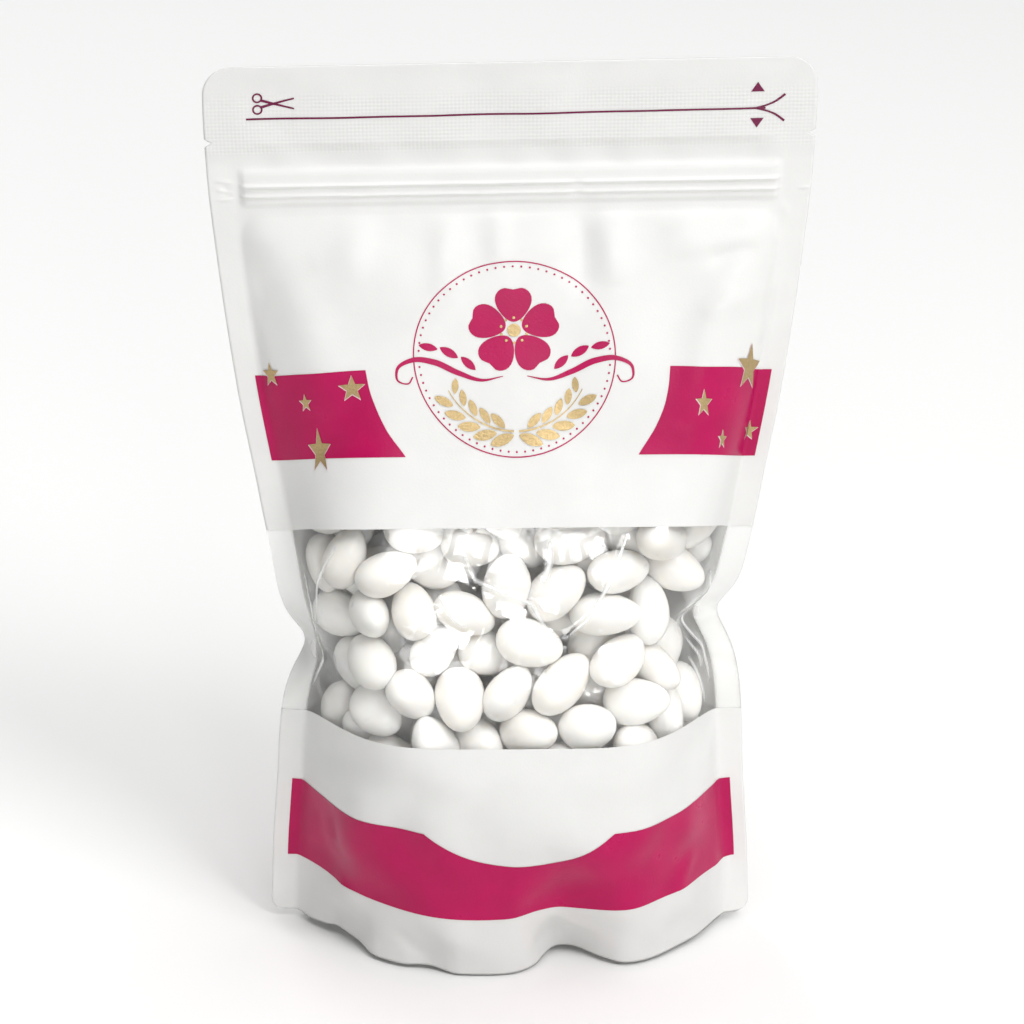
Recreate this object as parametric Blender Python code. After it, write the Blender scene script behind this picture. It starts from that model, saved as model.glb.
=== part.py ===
"""A sealed stand-up pouch of sugared almonds: a white film pouch with side seals, a header with a zip
closure and tear notches, and a clear window across its front through which the heap of almonds shows.

The pouch is a loft between unlike cross-sections. Each one belongs to a flat height on the film, so the
side seams, the front and the back stay at the heights that they have on the flat pouch.
+Z is up, the window faces -Y, and the origin is the middle of the base.
"""

import math

import bmesh
import bpy
import numpy as np
from mathutils import Matrix, Vector

# Every size in this file is in millimetres, and MM turns it into Blender's metres
MM = 0.001

# Flat pouch
FLAT_HEIGHT = 300.0
SIDE_SEAL = 8.0
HALF_FILM = 87.0
FIN_THICKNESS = 0.9
TOP_CORNER_RADIUS = 9.0
BASE_CORNER_RADIUS = 4.0

# Half width over the side seals at each height above the base, before the waist dents
HALF_WIDTH = [(0, 79), (25, 78.2), (60, 76.3), (100, 76), (125, 76.8), (150, 80),
              (190, 86.4), (235, 91.8), (262, 94.2), (285, 95), (310, 95)]

# How far the front and back stand off the seam plane at each flat height, at the middle of the pouch
BULGE = [(0, 40), (22, 43.5), (50, 44.5), (75, 42), (100, 37), (125, 30.5), (146, 24),
         (171, 16.5), (200, 10.5), (235, 5), (256, 1.2), (268, 0.5), (300, 0.3)]

# How much higher the middle of the film stands than its side seams, at each flat height
MIDDLE_RISE = [(0, -2.5), (22, -1.5), (50, 1.5), (75, 5), (100, 8), (125, 9.5), (146, 9.5),
               (171, 8.5), (200, 6.5), (235, 3), (266, 0), (300, 0)]

# Exponent of the cross-section: low is a lens, high is a flat front with steep sides
FULLNESS = [(0, 3.7), (22, 3.0), (50, 3.3), (75, 4.7), (100, 9), (125, 12), (146, 13), (300, 13)]
SEAM_SOFTNESS = 1.35

# The side seams stand a little ahead of the pouch's middle at the base and lean back towards the top,
# and the right side stands a little higher than the left
SEAM_PLANE_AHEAD = 1.6
TOP_LEAN = 8.0
SIDE_SLOPE = 0.022
SLOPE_STARTS = 20.0
BASE_CORNER_LIFT = 2.5

# Waist dents of the side seams: height, depth, reach below and above, and turn of the fin in degrees
LEFT_DENT = {"height": 98.0, "depth": 9.4, "below": 11.0, "above": 10.0, "turn": 62.0}
RIGHT_DENT = {"height": 108.0, "depth": 9.0, "below": 10.5, "above": 8.5, "turn": 20.0}
DENT_SETBACK = 7.0
DENT_SETBACK_REACH = 14.0
FIN_TURN_REACH = 9.0

# Buckle in the front skirt, where the base edge bends inwards
BUCKLE_X = 18.0
BUCKLE_HALF_WIDTH = 11.0
BUCKLE_DEPTH = [(0, 13), (10, 9), (22, 5), (40, 1), (55, 0)]

# Zip closure: a raised band with two ridges along the header
ZIP_RELIEF = [(253, 0), (254.5, 0.5), (257, 0.5), (258, 1.3), (259.4, 0.5), (261, 1.3),
              (262.4, 0.5), (266, 0.5), (267.5, 0)]
ZIP_HALF_SPAN = 0.97

# Tear notches
NOTCH_HEIGHT = 275.3
NOTCH_DEPTH = 2.2
NOTCH_HALF_OPENING = 1.3
NOTCH_OVERSHOOT = 1.0
NOTCH_PRISM_HALF_DEPTH = 5.0

# Rest face under the pouch, drawn in from the base edge
REST_INSET = 0.86

# Flat heights of the cross-sections, closer together where the film bends more
BODY_FLATS = [0, 2, 4, 7, 11, 16, 22, 30, 39, 48, 57, 66, 75, 82, 88, 93, 97, 101, 105, 109, 113, 118,
              124, 131, 140, 150, 162, 176, 192, 208, 224, 240]
HEADER_FLATS = [272, 283, 291, 294, 296.5, 298.5, 299.6, 300]
FILM_COLUMNS = 24
CURVE_SAMPLES = 161
EDGE_SAMPLES = 1200

# Window and the pocket behind it that holds the heap
WINDOW_BOTTOM = 73.0
WINDOW_TOP = 143.0
POCKET_HALF_SPAN = 0.995
POCKET_FLOOR_AHEAD = 3.0
CUT_IN_FRONT = 25.0
BLOCK_COLUMNS = 19
BLOCK_ROWS = 22
CORE_ROWS = 12
GAP = 0.35

# Space of the heap in its pocket, and the solid core that its pieces are fused on
HEAP_HALF_SPAN = 0.93
HEAP_EDGE_THICKNESS = 1.15
CORE_HALF_SPAN = 0.90
CORE_UNDER_FILM = 7.5
CORE_EDGE_THICKNESS = 2.0
CORE_OFF_FLOOR = 1.0

# Almonds, as length, width and thickness of a middling one
ALMOND_LENGTH = 21.0
ALMOND_WIDTH = 14.6
ALMOND_THICKNESS = 11.5
ALMOND_VARIATION = 0.10
ALMOND_TAPER = 0.16
ALMOND_SEGMENTS = 9
ALMOND_RINGS = 6
ROW_PITCH = 12.6
ALMOND_PITCH = 18.6
SINK_UNDER_FILM = 1.4
ALMOND_MAX_TURN = 1.0
ALMOND_JITTER = 1.6
PIECES_INSIDE_SPAN = 0.88
FRAME_STEP = 0.05
SEED = 11

FRONT = -1
BACK = 1


def smooth_through(points, at):
    """Monotone cubic through (place, value) points, so the curve never swings past its own values."""
    place = np.array([p[0] for p in points], float)
    value = np.array([p[1] for p in points], float)
    step = np.diff(place)
    slope = np.diff(value) / step
    tangent = np.zeros(len(place))
    for i in range(1, len(place) - 1):
        if slope[i - 1] * slope[i] > 0:
            before = 2 * step[i] + step[i - 1]
            after = step[i] + 2 * step[i - 1]
            tangent[i] = (before + after) / (before / slope[i - 1] + after / slope[i])
    tangent[0] = slope[0]
    tangent[-1] = slope[-1]
    at = np.clip(at, place[0], place[-1])
    i = np.clip(np.searchsorted(place, at, side="right") - 1, 0, len(step) - 1)
    u = (at - place[i]) / step[i]
    return (value[i] * (1 + 2 * u) * (1 - u) ** 2
            + tangent[i] * step[i] * u * (1 - u) ** 2
            + value[i + 1] * u * u * (3 - 2 * u)
            + tangent[i + 1] * step[i] * u * u * (u - 1))


def falloff(height, centre, below, above):
    """One at the centre and fading to nothing, with its own reach on each side."""
    away = height - centre
    return 1 / (1 + (away / np.where(away < 0, below, above)) ** 2)


def outer_edge(height, dent):
    """Distance of a side edge from the middle, and how far it stands behind the middle plane."""
    across = smooth_through(HALF_WIDTH, height)
    across = across - dent["depth"] * falloff(height, dent["height"], dent["below"], dent["above"])
    setback = DENT_SETBACK * falloff(height, dent["height"], DENT_SETBACK_REACH, DENT_SETBACK_REACH)
    return across, TOP_LEAN * height / FLAT_HEIGHT + setback - SEAM_PLANE_AHEAD


def inner_seam(height, dent):
    """The line where a side seal meets the body. The seal turns towards the front at the dent."""
    across, behind = outer_edge(height, dent)
    turn = math.radians(dent["turn"]) * falloff(height, dent["height"], FIN_TURN_REACH, FIN_TURN_REACH)
    return across - SIDE_SEAL * np.cos(turn), behind - SIDE_SEAL * np.sin(turn)


def height_along_edge(dent):
    """Flat height to real height along a side edge, which is longer than it is tall because of its dent."""
    height = np.linspace(BASE_CORNER_LIFT, FLAT_HEIGHT, EDGE_SAMPLES)
    across, behind = outer_edge(height, dent)
    steps = np.sqrt(np.diff(across) ** 2 + np.diff(behind) ** 2 + np.diff(height) ** 2)
    return np.concatenate([[0.0], np.cumsum(steps)]), height


EDGE_HEIGHTS = {"left": height_along_edge(LEFT_DENT), "right": height_along_edge(RIGHT_DENT)}


def edge_height(flat, side):
    along, height = EDGE_HEIGHTS[side]
    return float(np.interp(flat, along, height))


def lift(points, flat):
    """Raise the right side and lower the left, more and more towards the top."""
    share = min(max((flat - SLOPE_STARTS) / (FLAT_HEIGHT - SLOPE_STARTS), 0.0), 1.0)
    points[:, 2] += SIDE_SLOPE * share * points[:, 0]
    return points


def panel(flat, across, face, relief=0.0):
    """Points of the front or back film at one flat height. across runs from -1 to 1 along the film."""
    left = edge_height(flat, "left")
    right = edge_height(flat, "right")
    left_x, left_y = inner_seam(left, LEFT_DENT)
    right_x, right_y = inner_seam(right, RIGHT_DENT)
    bulge = smooth_through(BULGE, flat)
    fullness = smooth_through(FULLNESS, flat)
    xi = np.sin(np.linspace(-1, 1, CURVE_SAMPLES) * math.pi / 2)
    swell = (1 - np.abs(xi) ** fullness) ** SEAM_SOFTNESS
    x = np.where(xi < 0, xi * left_x, xi * right_x)
    length = np.concatenate([[0.0], np.cumsum(np.hypot(np.diff(x), bulge * np.diff(swell)))])
    wanted = (np.asarray(across, float) + 1) / 2 * length[-1]
    x = np.interp(wanted, length, x)
    swell = np.interp(wanted, length, swell)
    xi = np.interp(wanted, length, xi)
    share = (xi + 1) / 2
    y = left_y + (right_y - left_y) * share + face * (bulge * swell + FIN_THICKNESS / 2)
    z = left + (right - left) * share + smooth_through(MIDDLE_RISE, flat) * swell
    if face == FRONT:
        y += smooth_through(BUCKLE_DEPTH, flat) * np.exp(-((x - BUCKLE_X) / BUCKLE_HALF_WIDTH) ** 2)
    y += face * relief * (np.abs(xi) < ZIP_HALF_SPAN)
    return lift(np.stack([x, y, z], axis=1), flat)


def corner_cut(flat):
    """How much the rounded corners take off each side edge at this flat height."""
    cut = 0.0
    for radius, from_edge in ((TOP_CORNER_RADIUS, FLAT_HEIGHT - flat), (BASE_CORNER_RADIUS, flat)):
        if from_edge < radius:
            cut = radius - math.sqrt(radius ** 2 - (radius - from_edge) ** 2)
    return cut


def fin_edge(flat, side, dent):
    """The outer edge of a side seal, as its front and its back point."""
    height = edge_height(flat, side)
    across, behind = outer_edge(height, dent)
    x = (across - corner_cut(flat)) * (-1 if side == "left" else 1)
    half = FIN_THICKNESS / 2
    return lift(np.array([[x, behind - half, height], [x, behind + half, height]]), flat)


def section(flat, relief):
    """One closed cross-section: front film left to right, right edge, back film, left edge."""
    across = np.linspace(-1, 1, FILM_COLUMNS)
    left = fin_edge(flat, "left", LEFT_DENT)
    right = fin_edge(flat, "right", RIGHT_DENT)
    return np.vstack([left[:1], panel(flat, across, FRONT, relief), right,
                      panel(flat, across, BACK, relief)[::-1], left[1:]])


def loft(name, rings, material, collection):
    """A closed solid through rings of equally many points, each ring anticlockwise from above."""
    bm = bmesh.new()
    loops = []
    for ring in rings:
        loops.append([bm.verts.new(Vector(p) * MM) for p in ring])
    for lower, upper in zip(loops, loops[1:]):
        for i in range(len(lower)):
            j = (i + 1) % len(lower)
            bm.faces.new((lower[i], lower[j], upper[j], upper[i]))
    bm.faces.new(loops[0][::-1])
    bm.faces.new(loops[-1])
    bmesh.ops.triangulate(bm, faces=bm.faces)
    bmesh.ops.recalc_face_normals(bm, faces=bm.faces)
    mesh = bpy.data.meshes.new(name)
    bm.to_mesh(mesh)
    bm.free()
    made = bpy.data.objects.new(name, mesh)
    made.data.materials.append(material)
    collection.objects.link(made)
    return made


def material(name, colour, roughness):
    made = bpy.data.materials.new(name)
    made.use_nodes = True
    shader = made.node_tree.nodes["Principled BSDF"]
    shader.inputs["Base Color"].default_value = (*colour, 1.0)
    shader.inputs["Roughness"].default_value = roughness
    shader.inputs["Metallic"].default_value = 0.0
    return made


def collection(name):
    made = bpy.data.collections.new(name)
    bpy.context.scene.collection.children.link(made)
    return made


def guide(cutter):
    cutter.hide_render = True
    cutter.display_type = "WIRE"
    return cutter


def cut(target, operation, cutter=None, group=None):
    """Apply one Boolean to the target, with a single cutter or a whole collection."""
    modifier = target.modifiers.new("boolean", "BOOLEAN")
    modifier.operation = operation
    modifier.solver = "EXACT"
    if group is None:
        modifier.object = cutter
    else:
        modifier.operand_type = "COLLECTION"
        modifier.collection = group
    bpy.context.view_layer.update()
    evaluated = target.evaluated_get(bpy.context.evaluated_depsgraph_get())
    joined = bpy.data.meshes.new_from_object(evaluated)
    target.modifiers.clear()
    target.data = joined


def fill_hollows(target):
    """Keep only the outermost shell of a fused solid, so sealed hollows are filled and scraps go."""
    bm = bmesh.new()
    bm.from_mesh(target.data)
    bm.verts.ensure_lookup_table()
    waiting = set(bm.verts)
    shells = []
    while waiting:
        shell = set()
        edge_of_shell = [waiting.pop()]
        while edge_of_shell:
            vertex = edge_of_shell.pop()
            shell.add(vertex)
            for edge in vertex.link_edges:
                other = edge.other_vert(vertex)
                if other in waiting:
                    waiting.discard(other)
                    edge_of_shell.append(other)
        shells.append(shell)
    kept = max(shells, key=len)
    bmesh.ops.delete(bm, geom=[v for v in bm.verts if v not in kept], context="VERTS")
    bm.to_mesh(target.data)
    bm.free()


def pocket_floor(flat, film):
    """Depth of the pocket's floor behind each point of the film: just ahead of the line between the seams."""
    left = inner_seam(edge_height(flat, "left"), LEFT_DENT)
    right = inner_seam(edge_height(flat, "right"), RIGHT_DENT)
    share = (film[:, 0] + left[0]) / (left[0] + right[0])
    return left[1] + (right[1] - left[1]) * share - POCKET_FLOOR_AHEAD


def block(flats, half_span, depths):
    """Rings of a block behind the front film. depths gives its front and back from the film and the floor."""
    rings = []
    for flat in flats:
        film = panel(flat, np.linspace(-half_span, half_span, BLOCK_COLUMNS), FRONT)
        front, back = depths(film[:, 1], pocket_floor(flat, film))
        ahead = np.column_stack([film[:, 0], front, film[:, 2]])
        behind = np.column_stack([film[:, 0], back, film[:, 2]])
        rings.append(np.vstack([ahead, behind[::-1]]))
    return rings


def make_pouch(parts, cutters):
    white_film = material("white_film", (0.90, 0.90, 0.89), 0.45)
    relief = dict(ZIP_RELIEF)
    flats = BODY_FLATS + list(relief) + HEADER_FLATS
    rings = [section(flat, relief.get(flat, 0.0)) for flat in flats]
    rest = rings[0] * (REST_INSET, REST_INSET, 0.0)
    pouch = loft("pouch", [rest] + rings, white_film, parts)

    pocket = loft("pocket_cutter",
                  block(np.linspace(WINDOW_BOTTOM, WINDOW_TOP, BLOCK_ROWS), POCKET_HALF_SPAN,
                        lambda film, floor: (film * 0 + film.min() - CUT_IN_FRONT, floor)),
                  white_film, cutters)
    cut(pouch, "DIFFERENCE", guide(pocket))
    for side, dent in (("left", LEFT_DENT), ("right", RIGHT_DENT)):
        cut(pouch, "DIFFERENCE", guide(notch_cutter(side, dent, cutters)))
    return pouch


def notch_cutter(side, dent, cutters):
    """A three-sided prism through the film, with one edge pointing inwards as the tip of the notch."""
    outwards = -1 if side == "left" else 1
    edge = fin_edge(NOTCH_HEIGHT, side, dent).mean(axis=0)
    # The prism's tip is one radius from its middle, and its outer side half a radius
    reach = (NOTCH_DEPTH + NOTCH_OVERSHOOT) / 1.5
    edge[0] -= outwards * (NOTCH_DEPTH - reach)
    half_side = NOTCH_HALF_OPENING * (1 + NOTCH_OVERSHOOT / NOTCH_DEPTH) / math.cos(math.radians(30))
    bpy.ops.mesh.primitive_cone_add(vertices=3, radius1=1.0, radius2=1.0, depth=2.0)
    notch = bpy.context.object
    notch.name = "notch_cutter_" + side
    notch.rotation_euler = (math.radians(90), math.radians(-90) * outwards, 0)
    notch.scale = (half_side * MM, reach * MM, NOTCH_PRISM_HALF_DEPTH * MM)
    notch.location = Vector(edge) * MM
    move_to(notch, cutters)
    bpy.context.view_layer.update()
    return notch


def move_to(piece, group):
    for holder in piece.users_collection:
        holder.objects.unlink(piece)
    group.objects.link(piece)


def almond(place, facing, along, size, sugar, group):
    """One low-sided almond: a sphere made narrower towards its tip, laid on the inside of the film."""
    bpy.ops.mesh.primitive_uv_sphere_add(segments=ALMOND_SEGMENTS, ring_count=ALMOND_RINGS, radius=0.5)
    made = bpy.context.object
    made.name = "almond"
    length, width, thickness = size
    for vertex in made.data.vertices:
        x, y, z = vertex.co
        girth = 1 - ALMOND_TAPER * 2 * z
        vertex.co = (z * length * MM, x * width * girth * MM, y * thickness * girth * MM)
    side = facing.cross(along)
    made.matrix_world = Matrix.Translation(place * MM) @ Matrix((along, side, facing)).transposed().to_4x4()
    made.data.materials.append(sugar)
    move_to(made, group)


def film_frame(flat, across):
    """A point of the front film, its outward normal and its direction to the right."""
    before, point, after = panel(flat, [across - FRAME_STEP, across, across + FRAME_STEP], FRONT)
    right = Vector(after - before)
    step = FRAME_STEP * HALF_FILM
    up = Vector(panel(flat + step, [across], FRONT)[0] - panel(flat - step, [across], FRONT)[0])
    right.normalize()
    normal = right.cross(up).normalized()
    return Vector(point), normal, right


def make_almonds(parts, cutters):
    sugar = material("sugar_coating", (0.86, 0.84, 0.81), 0.3)
    core = loft("almonds",
                block(np.linspace(WINDOW_BOTTOM + 1, WINDOW_TOP - 1, CORE_ROWS), CORE_HALF_SPAN,
                      lambda film, floor: (np.minimum(film + CORE_UNDER_FILM,
                                                      floor - CORE_OFF_FLOOR - CORE_EDGE_THICKNESS),
                                           floor - CORE_OFF_FLOOR)),
                sugar, parts)
    rng = np.random.default_rng(SEED)
    heap = collection("heap_pieces")
    rows = int((WINDOW_TOP - WINDOW_BOTTOM) // ROW_PITCH) + 1
    a_row = int(2 * HALF_FILM * HEAP_HALF_SPAN // ALMOND_PITCH) + 1
    for row in range(rows):
        row_flat = WINDOW_BOTTOM + (row + 0.4) * ROW_PITCH
        stagger = 0.25 if row % 2 else -0.25
        for i in range(a_row):
            along_row = (i - (a_row - 1) / 2 + stagger) * ALMOND_PITCH + rng.uniform(-1, 1) * ALMOND_JITTER
            flat = row_flat + rng.uniform(-1, 1) * ALMOND_JITTER
            size = np.array([ALMOND_LENGTH, ALMOND_WIDTH, ALMOND_THICKNESS])
            size = size * (1 + rng.uniform(-1, 1, 3) * ALMOND_VARIATION)
            angle = rng.uniform(-1, 1) * ALMOND_MAX_TURN
            if abs(along_row) > HALF_FILM * PIECES_INSIDE_SPAN:
                continue
            point, normal, right = film_frame(flat, along_row / HALF_FILM)
            place = point - normal * (size[2] / 2 + SINK_UNDER_FILM)
            almond(place, normal, Matrix.Rotation(angle, 3, normal) @ right, size, sugar, heap)
    cut(core, "UNION", group=heap)
    for piece in list(heap.objects):
        bpy.data.objects.remove(piece)
    bpy.data.collections.remove(heap)

    # Trim the heap to its space: the floor, the edges of the window and the inside of the film
    trim = loft("heap_space",
                block(np.linspace(WINDOW_BOTTOM + GAP, WINDOW_TOP - GAP, BLOCK_ROWS), HEAP_HALF_SPAN,
                      lambda film, floor: (np.minimum(film + GAP, floor - GAP - HEAP_EDGE_THICKNESS),
                                           floor - GAP)),
                sugar, cutters)
    cut(core, "INTERSECT", guide(trim))
    fill_hollows(core)
    return core


def main():
    for old in list(bpy.data.objects):
        bpy.data.objects.remove(old)
    parts = collection("sugared_almond_pouch")
    cutters = collection("cutters")
    make_pouch(parts, cutters)
    make_almonds(parts, cutters)


main()
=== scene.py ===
"""Looks of a sealed stand-up pouch of sugared almonds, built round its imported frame.

The film is worked out on the flat pouch. A place on it is a distance across from the middle (s) and a
flat height above the base edge (t), both in millimetres, and the film's form turns it into a point in space.
Everything printed on the film is laid out in the same flat places, so it follows every fold.
"""

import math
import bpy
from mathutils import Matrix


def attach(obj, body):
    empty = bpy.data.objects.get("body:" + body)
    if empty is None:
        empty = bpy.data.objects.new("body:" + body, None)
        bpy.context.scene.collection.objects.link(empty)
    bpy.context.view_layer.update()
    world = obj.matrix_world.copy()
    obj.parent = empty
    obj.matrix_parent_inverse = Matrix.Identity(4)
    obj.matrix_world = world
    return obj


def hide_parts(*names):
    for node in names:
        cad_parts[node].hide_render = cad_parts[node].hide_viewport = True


bl_info = {
    "name": "Sugared Almond Pouch",
    "version": (1, 0, 0),
    "blender": (4, 5, 0),
    "location": "View3D > Sidebar > Pouch",
    "description": "Dresses the frame of a stand-up pouch with printed film, a clear window and almonds",
    "category": "Add Mesh",
}

import bpy
import numpy as np
from mathutils import Matrix, Vector

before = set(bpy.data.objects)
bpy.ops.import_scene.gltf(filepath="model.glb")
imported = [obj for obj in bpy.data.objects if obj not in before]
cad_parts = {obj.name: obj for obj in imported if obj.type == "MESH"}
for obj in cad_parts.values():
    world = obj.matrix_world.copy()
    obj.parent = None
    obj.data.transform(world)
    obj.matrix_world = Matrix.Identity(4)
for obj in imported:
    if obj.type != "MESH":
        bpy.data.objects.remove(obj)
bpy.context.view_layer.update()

MM = 0.001
FRONT = -1
BACK = 1

# Flat pouch, in millimetres
FLAT_HEIGHT = 300.0
HALF_FILM = 87.0
SIDE_SEAL = 8.0
HALF_FLAT = HALF_FILM + SIDE_SEAL
HALF_FIN_THICKNESS = 0.18
TOP_CORNER_RADIUS = 9.0
BASE_CORNER_RADIUS = 4.0
NOTCH_HEIGHT = 275.3
NOTCH_DEPTH = 2.2
NOTCH_HALF_OPENING = 1.3

# Half width over the side seals at each height above the base, before the waist dents
HALF_WIDTH = [(0, 79), (25, 78.2), (60, 76.3), (100, 76), (125, 76.8), (150, 80),
              (190, 86.4), (235, 91.8), (262, 94.2), (285, 95), (310, 95)]

# How far the film stands off the seam plane at each flat height, at the middle of the pouch
BULGE = [(0, 40), (22, 43.5), (50, 44.5), (75, 42), (100, 37), (125, 30.5), (146, 24),
         (171, 16.5), (200, 10.5), (235, 5), (256, 1.2), (268, 0.5), (300, 0.3)]

# How much higher the middle of the film stands than its side seams, at each flat height
MIDDLE_RISE = [(0, -2.5), (22, -1.5), (50, 1.5), (75, 5), (100, 8), (125, 9.5), (146, 9.5),
               (171, 8.5), (200, 6.5), (235, 3), (266, 0), (300, 0)]

# Exponent of the cross-section on each side: low is a lens, high is a flat front with a steep side
LEFT_FULLNESS = [(0, 3.7), (22, 3.0), (50, 3.6), (75, 4.7), (100, 8), (125, 9), (146, 8),
                 (171, 5.5), (200, 5), (235, 6), (300, 13)]
RIGHT_FULLNESS = [(0, 3.7), (22, 3.2), (50, 3.8), (75, 5.2), (100, 9), (125, 12), (146, 13), (300, 13)]
SEAM_SOFTNESS = 1.35

SEAM_PLANE_AHEAD = 1.6
TOP_LEAN = 8.0
SIDE_SLOPE = 0.022
SLOPE_STARTS = 20.0
BASE_CORNER_LIFT = 2.5

# Waist dents of the side seams: height, depth, reach below and above, and turn of the seal in degrees
LEFT_DENT = {"height": 98.0, "depth": 9.4, "below": 11.0, "above": 10.0, "turn": 62.0}
RIGHT_DENT = {"height": 108.0, "depth": 9.0, "below": 10.5, "above": 8.5, "turn": 20.0}
DENT_SETBACK = 7.0
DENT_SETBACK_REACH = 14.0
FIN_TURN_REACH = 9.0

# Buckle in the front skirt, where the base edge bends inwards
BUCKLE_X = 18.0
BUCKLE_HALF_WIDTH = 11.0
BUCKLE_DEPTH = [(0, 13), (10, 9), (22, 5), (40, 1), (55, 0)]

# How far the front stands forward of its even curve, across the flat film, at three flat heights
RIM_HEIGHT = 0.0
BAND_HEIGHT = 21.0
BELLY_HEIGHT = 47.0
PUSH_ENDS = 72.0
RIM_PUSH = [(-95, 0), (-82, 0), (-72, -2.5), (-62, -6), (-54, -5.5), (-46, -2), (-36, -2.2), (-27, -3.6),
            (-16, -0.6), (8, -0.6), (15, -4.4), (23, -4.4), (30, -4), (38, -1.8), (48, 0), (60, 1.6),
            (74, 4.2), (88, 2.6), (95, 0)]
BAND_PUSH = [(-95, 0), (-60, 0.6), (-40, -0.6), (0, -1.6), (9, -5), (14, -5.6), (22, -3.6), (34, -1.4),
             (42, 0.6), (56, 3.2), (72, 6), (83, 5), (90, 0.6), (95, 0)]
BELLY_PUSH = [(-95, 0), (-87, 1), (-78, 3.4), (-68, 5), (-58, 4), (-46, 1.4), (-30, -2), (0, 0.6),
              (30, 1), (44, 2.6), (58, 5), (74, 6), (84, 3), (88, 1), (95, 0)]
RIM_RISE_SHARE = 0.3

# Window edges on the flat film, and how much the print bows up at the middle
WINDOW_BOTTOM = 73.0
WINDOW_TOP = 142.0
WINDOW_BOW = 2.2
BOW_SHARE = [(0, 0), (40, 0.4), (73, 1), (142, 1), (172, 0), (300, 0)]


def cubic_between(place, value, tangent, at):
    """Cubic through values with the given tangents, read at other places."""
    i = np.clip(np.searchsorted(place, at, side="right") - 1, 0, len(place) - 2)
    step = place[i + 1] - place[i]
    u = (at - place[i]) / step
    return (value[i] * (1 + 2 * u) * (1 - u) ** 2
            + tangent[i] * step * u * (1 - u) ** 2
            + value[i + 1] * u * u * (3 - 2 * u)
            + tangent[i + 1] * step * u * u * (u - 1))


def smooth_through(points, at):
    """Monotone cubic through (place, value) points, so the curve never swings past its own values."""
    place = np.array([p[0] for p in points], float)
    value = np.array([p[1] for p in points], float)
    step = np.diff(place)
    slope = np.diff(value) / step
    tangent = np.zeros(len(place))
    for i in range(1, len(place) - 1):
        if slope[i - 1] * slope[i] > 0:
            before = 2 * step[i] + step[i - 1]
            after = step[i] + 2 * step[i - 1]
            tangent[i] = (before + after) / (before / slope[i - 1] + after / slope[i])
    tangent[0] = slope[0]
    tangent[-1] = slope[-1]
    return cubic_between(place, value, tangent, np.clip(at, place[0], place[-1]))


def falloff(height, centre, below, above):
    """One at the centre and fading to nothing, with its own reach on each side."""
    away = height - centre
    return 1 / (1 + (away / np.where(away < 0, below, above)) ** 2)


def ramp(value, start, end):
    """Zero before start, one after end, and smooth between."""
    share = np.clip((value - start) / (end - start), 0, 1)
    return share * share * (3 - 2 * share)


def outer_edge(height, dent):
    """Distance of a side edge from the middle, and how far it stands behind the middle plane."""
    across = smooth_through(HALF_WIDTH, height)
    across = across - dent["depth"] * falloff(height, dent["height"], dent["below"], dent["above"])
    setback = DENT_SETBACK * falloff(height, dent["height"], DENT_SETBACK_REACH, DENT_SETBACK_REACH)
    return across, TOP_LEAN * height / FLAT_HEIGHT + setback - SEAM_PLANE_AHEAD


def inner_seam(height, dent):
    """The line where a side seal meets the body. The seal turns towards the front at the dent."""
    across, behind = outer_edge(height, dent)
    turn = math.radians(dent["turn"]) * falloff(height, dent["height"], FIN_TURN_REACH, FIN_TURN_REACH)
    return across - SIDE_SEAL * np.cos(turn), behind - SIDE_SEAL * np.sin(turn)


def edge_heights(flat, dent):
    """Real heights of flat heights along a side edge, which is longer than it is tall by its dent."""
    height = np.linspace(BASE_CORNER_LIFT, FLAT_HEIGHT, 1200)
    across, behind = outer_edge(height, dent)
    steps = np.sqrt(np.diff(across) ** 2 + np.diff(behind) ** 2 + np.diff(height) ** 2)
    return np.interp(flat, np.concatenate([[0.0], np.cumsum(steps)]), height)


def waves(s, t, length, seed):
    """Smooth random ripples of about this wavelength, between about -1 and 1."""
    rng = np.random.default_rng(seed)
    total = np.zeros(np.broadcast(s, t).shape)
    count = 22
    for _ in range(count):
        heading = rng.uniform(0, 2 * math.pi)
        size = 2 * math.pi / (length * rng.uniform(0.75, 1.6))
        phase = rng.uniform(0, 2 * math.pi)
        total += np.cos(size * (s * math.cos(heading) + t * math.sin(heading)) + phase)
    return total / math.sqrt(count * 2)


def fold(s, t, path, width):
    """A ridge along a path of flat places, fading at both ends."""
    best = np.zeros(np.broadcast(s, t).shape)
    points = np.array(path, float)
    legs = np.diff(points, axis=0)
    lengths = np.hypot(legs[:, 0], legs[:, 1])
    total = lengths.sum()
    done = 0.0
    for start, leg, length in zip(points, legs, lengths):
        along = np.clip(((s - start[0]) * leg[0] + (t - start[1]) * leg[1]) / length ** 2, 0, 1)
        away = np.hypot(s - start[0] - along * leg[0], t - start[1] - along * leg[1])
        share = (done + along * length) / total
        fade = np.sin(math.pi * np.clip(share, 0.02, 0.98)) ** 0.6
        best = np.maximum(best, fade * np.exp(-(away / width) ** 2))
        done += length
    return best


def front_push(s, t):
    """How far the front stands forward of its even curve, and how far its rim is lifted there."""
    rim = smooth_through(RIM_PUSH, s)
    band = smooth_through(BAND_PUSH, s)
    belly = smooth_through(BELLY_PUSH, s)
    to_band = ramp(t, RIM_HEIGHT, BAND_HEIGHT)
    to_belly = ramp(t, BAND_HEIGHT, BELLY_HEIGHT)
    fade = 1 - ramp(t, BELLY_HEIGHT, PUSH_ENDS)
    push = (rim * (1 - to_band) + band * (to_band - to_belly) + belly * to_belly) * fade
    return push, -np.minimum(rim, 0) * RIM_RISE_SHARE * (1 - to_band)


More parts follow.
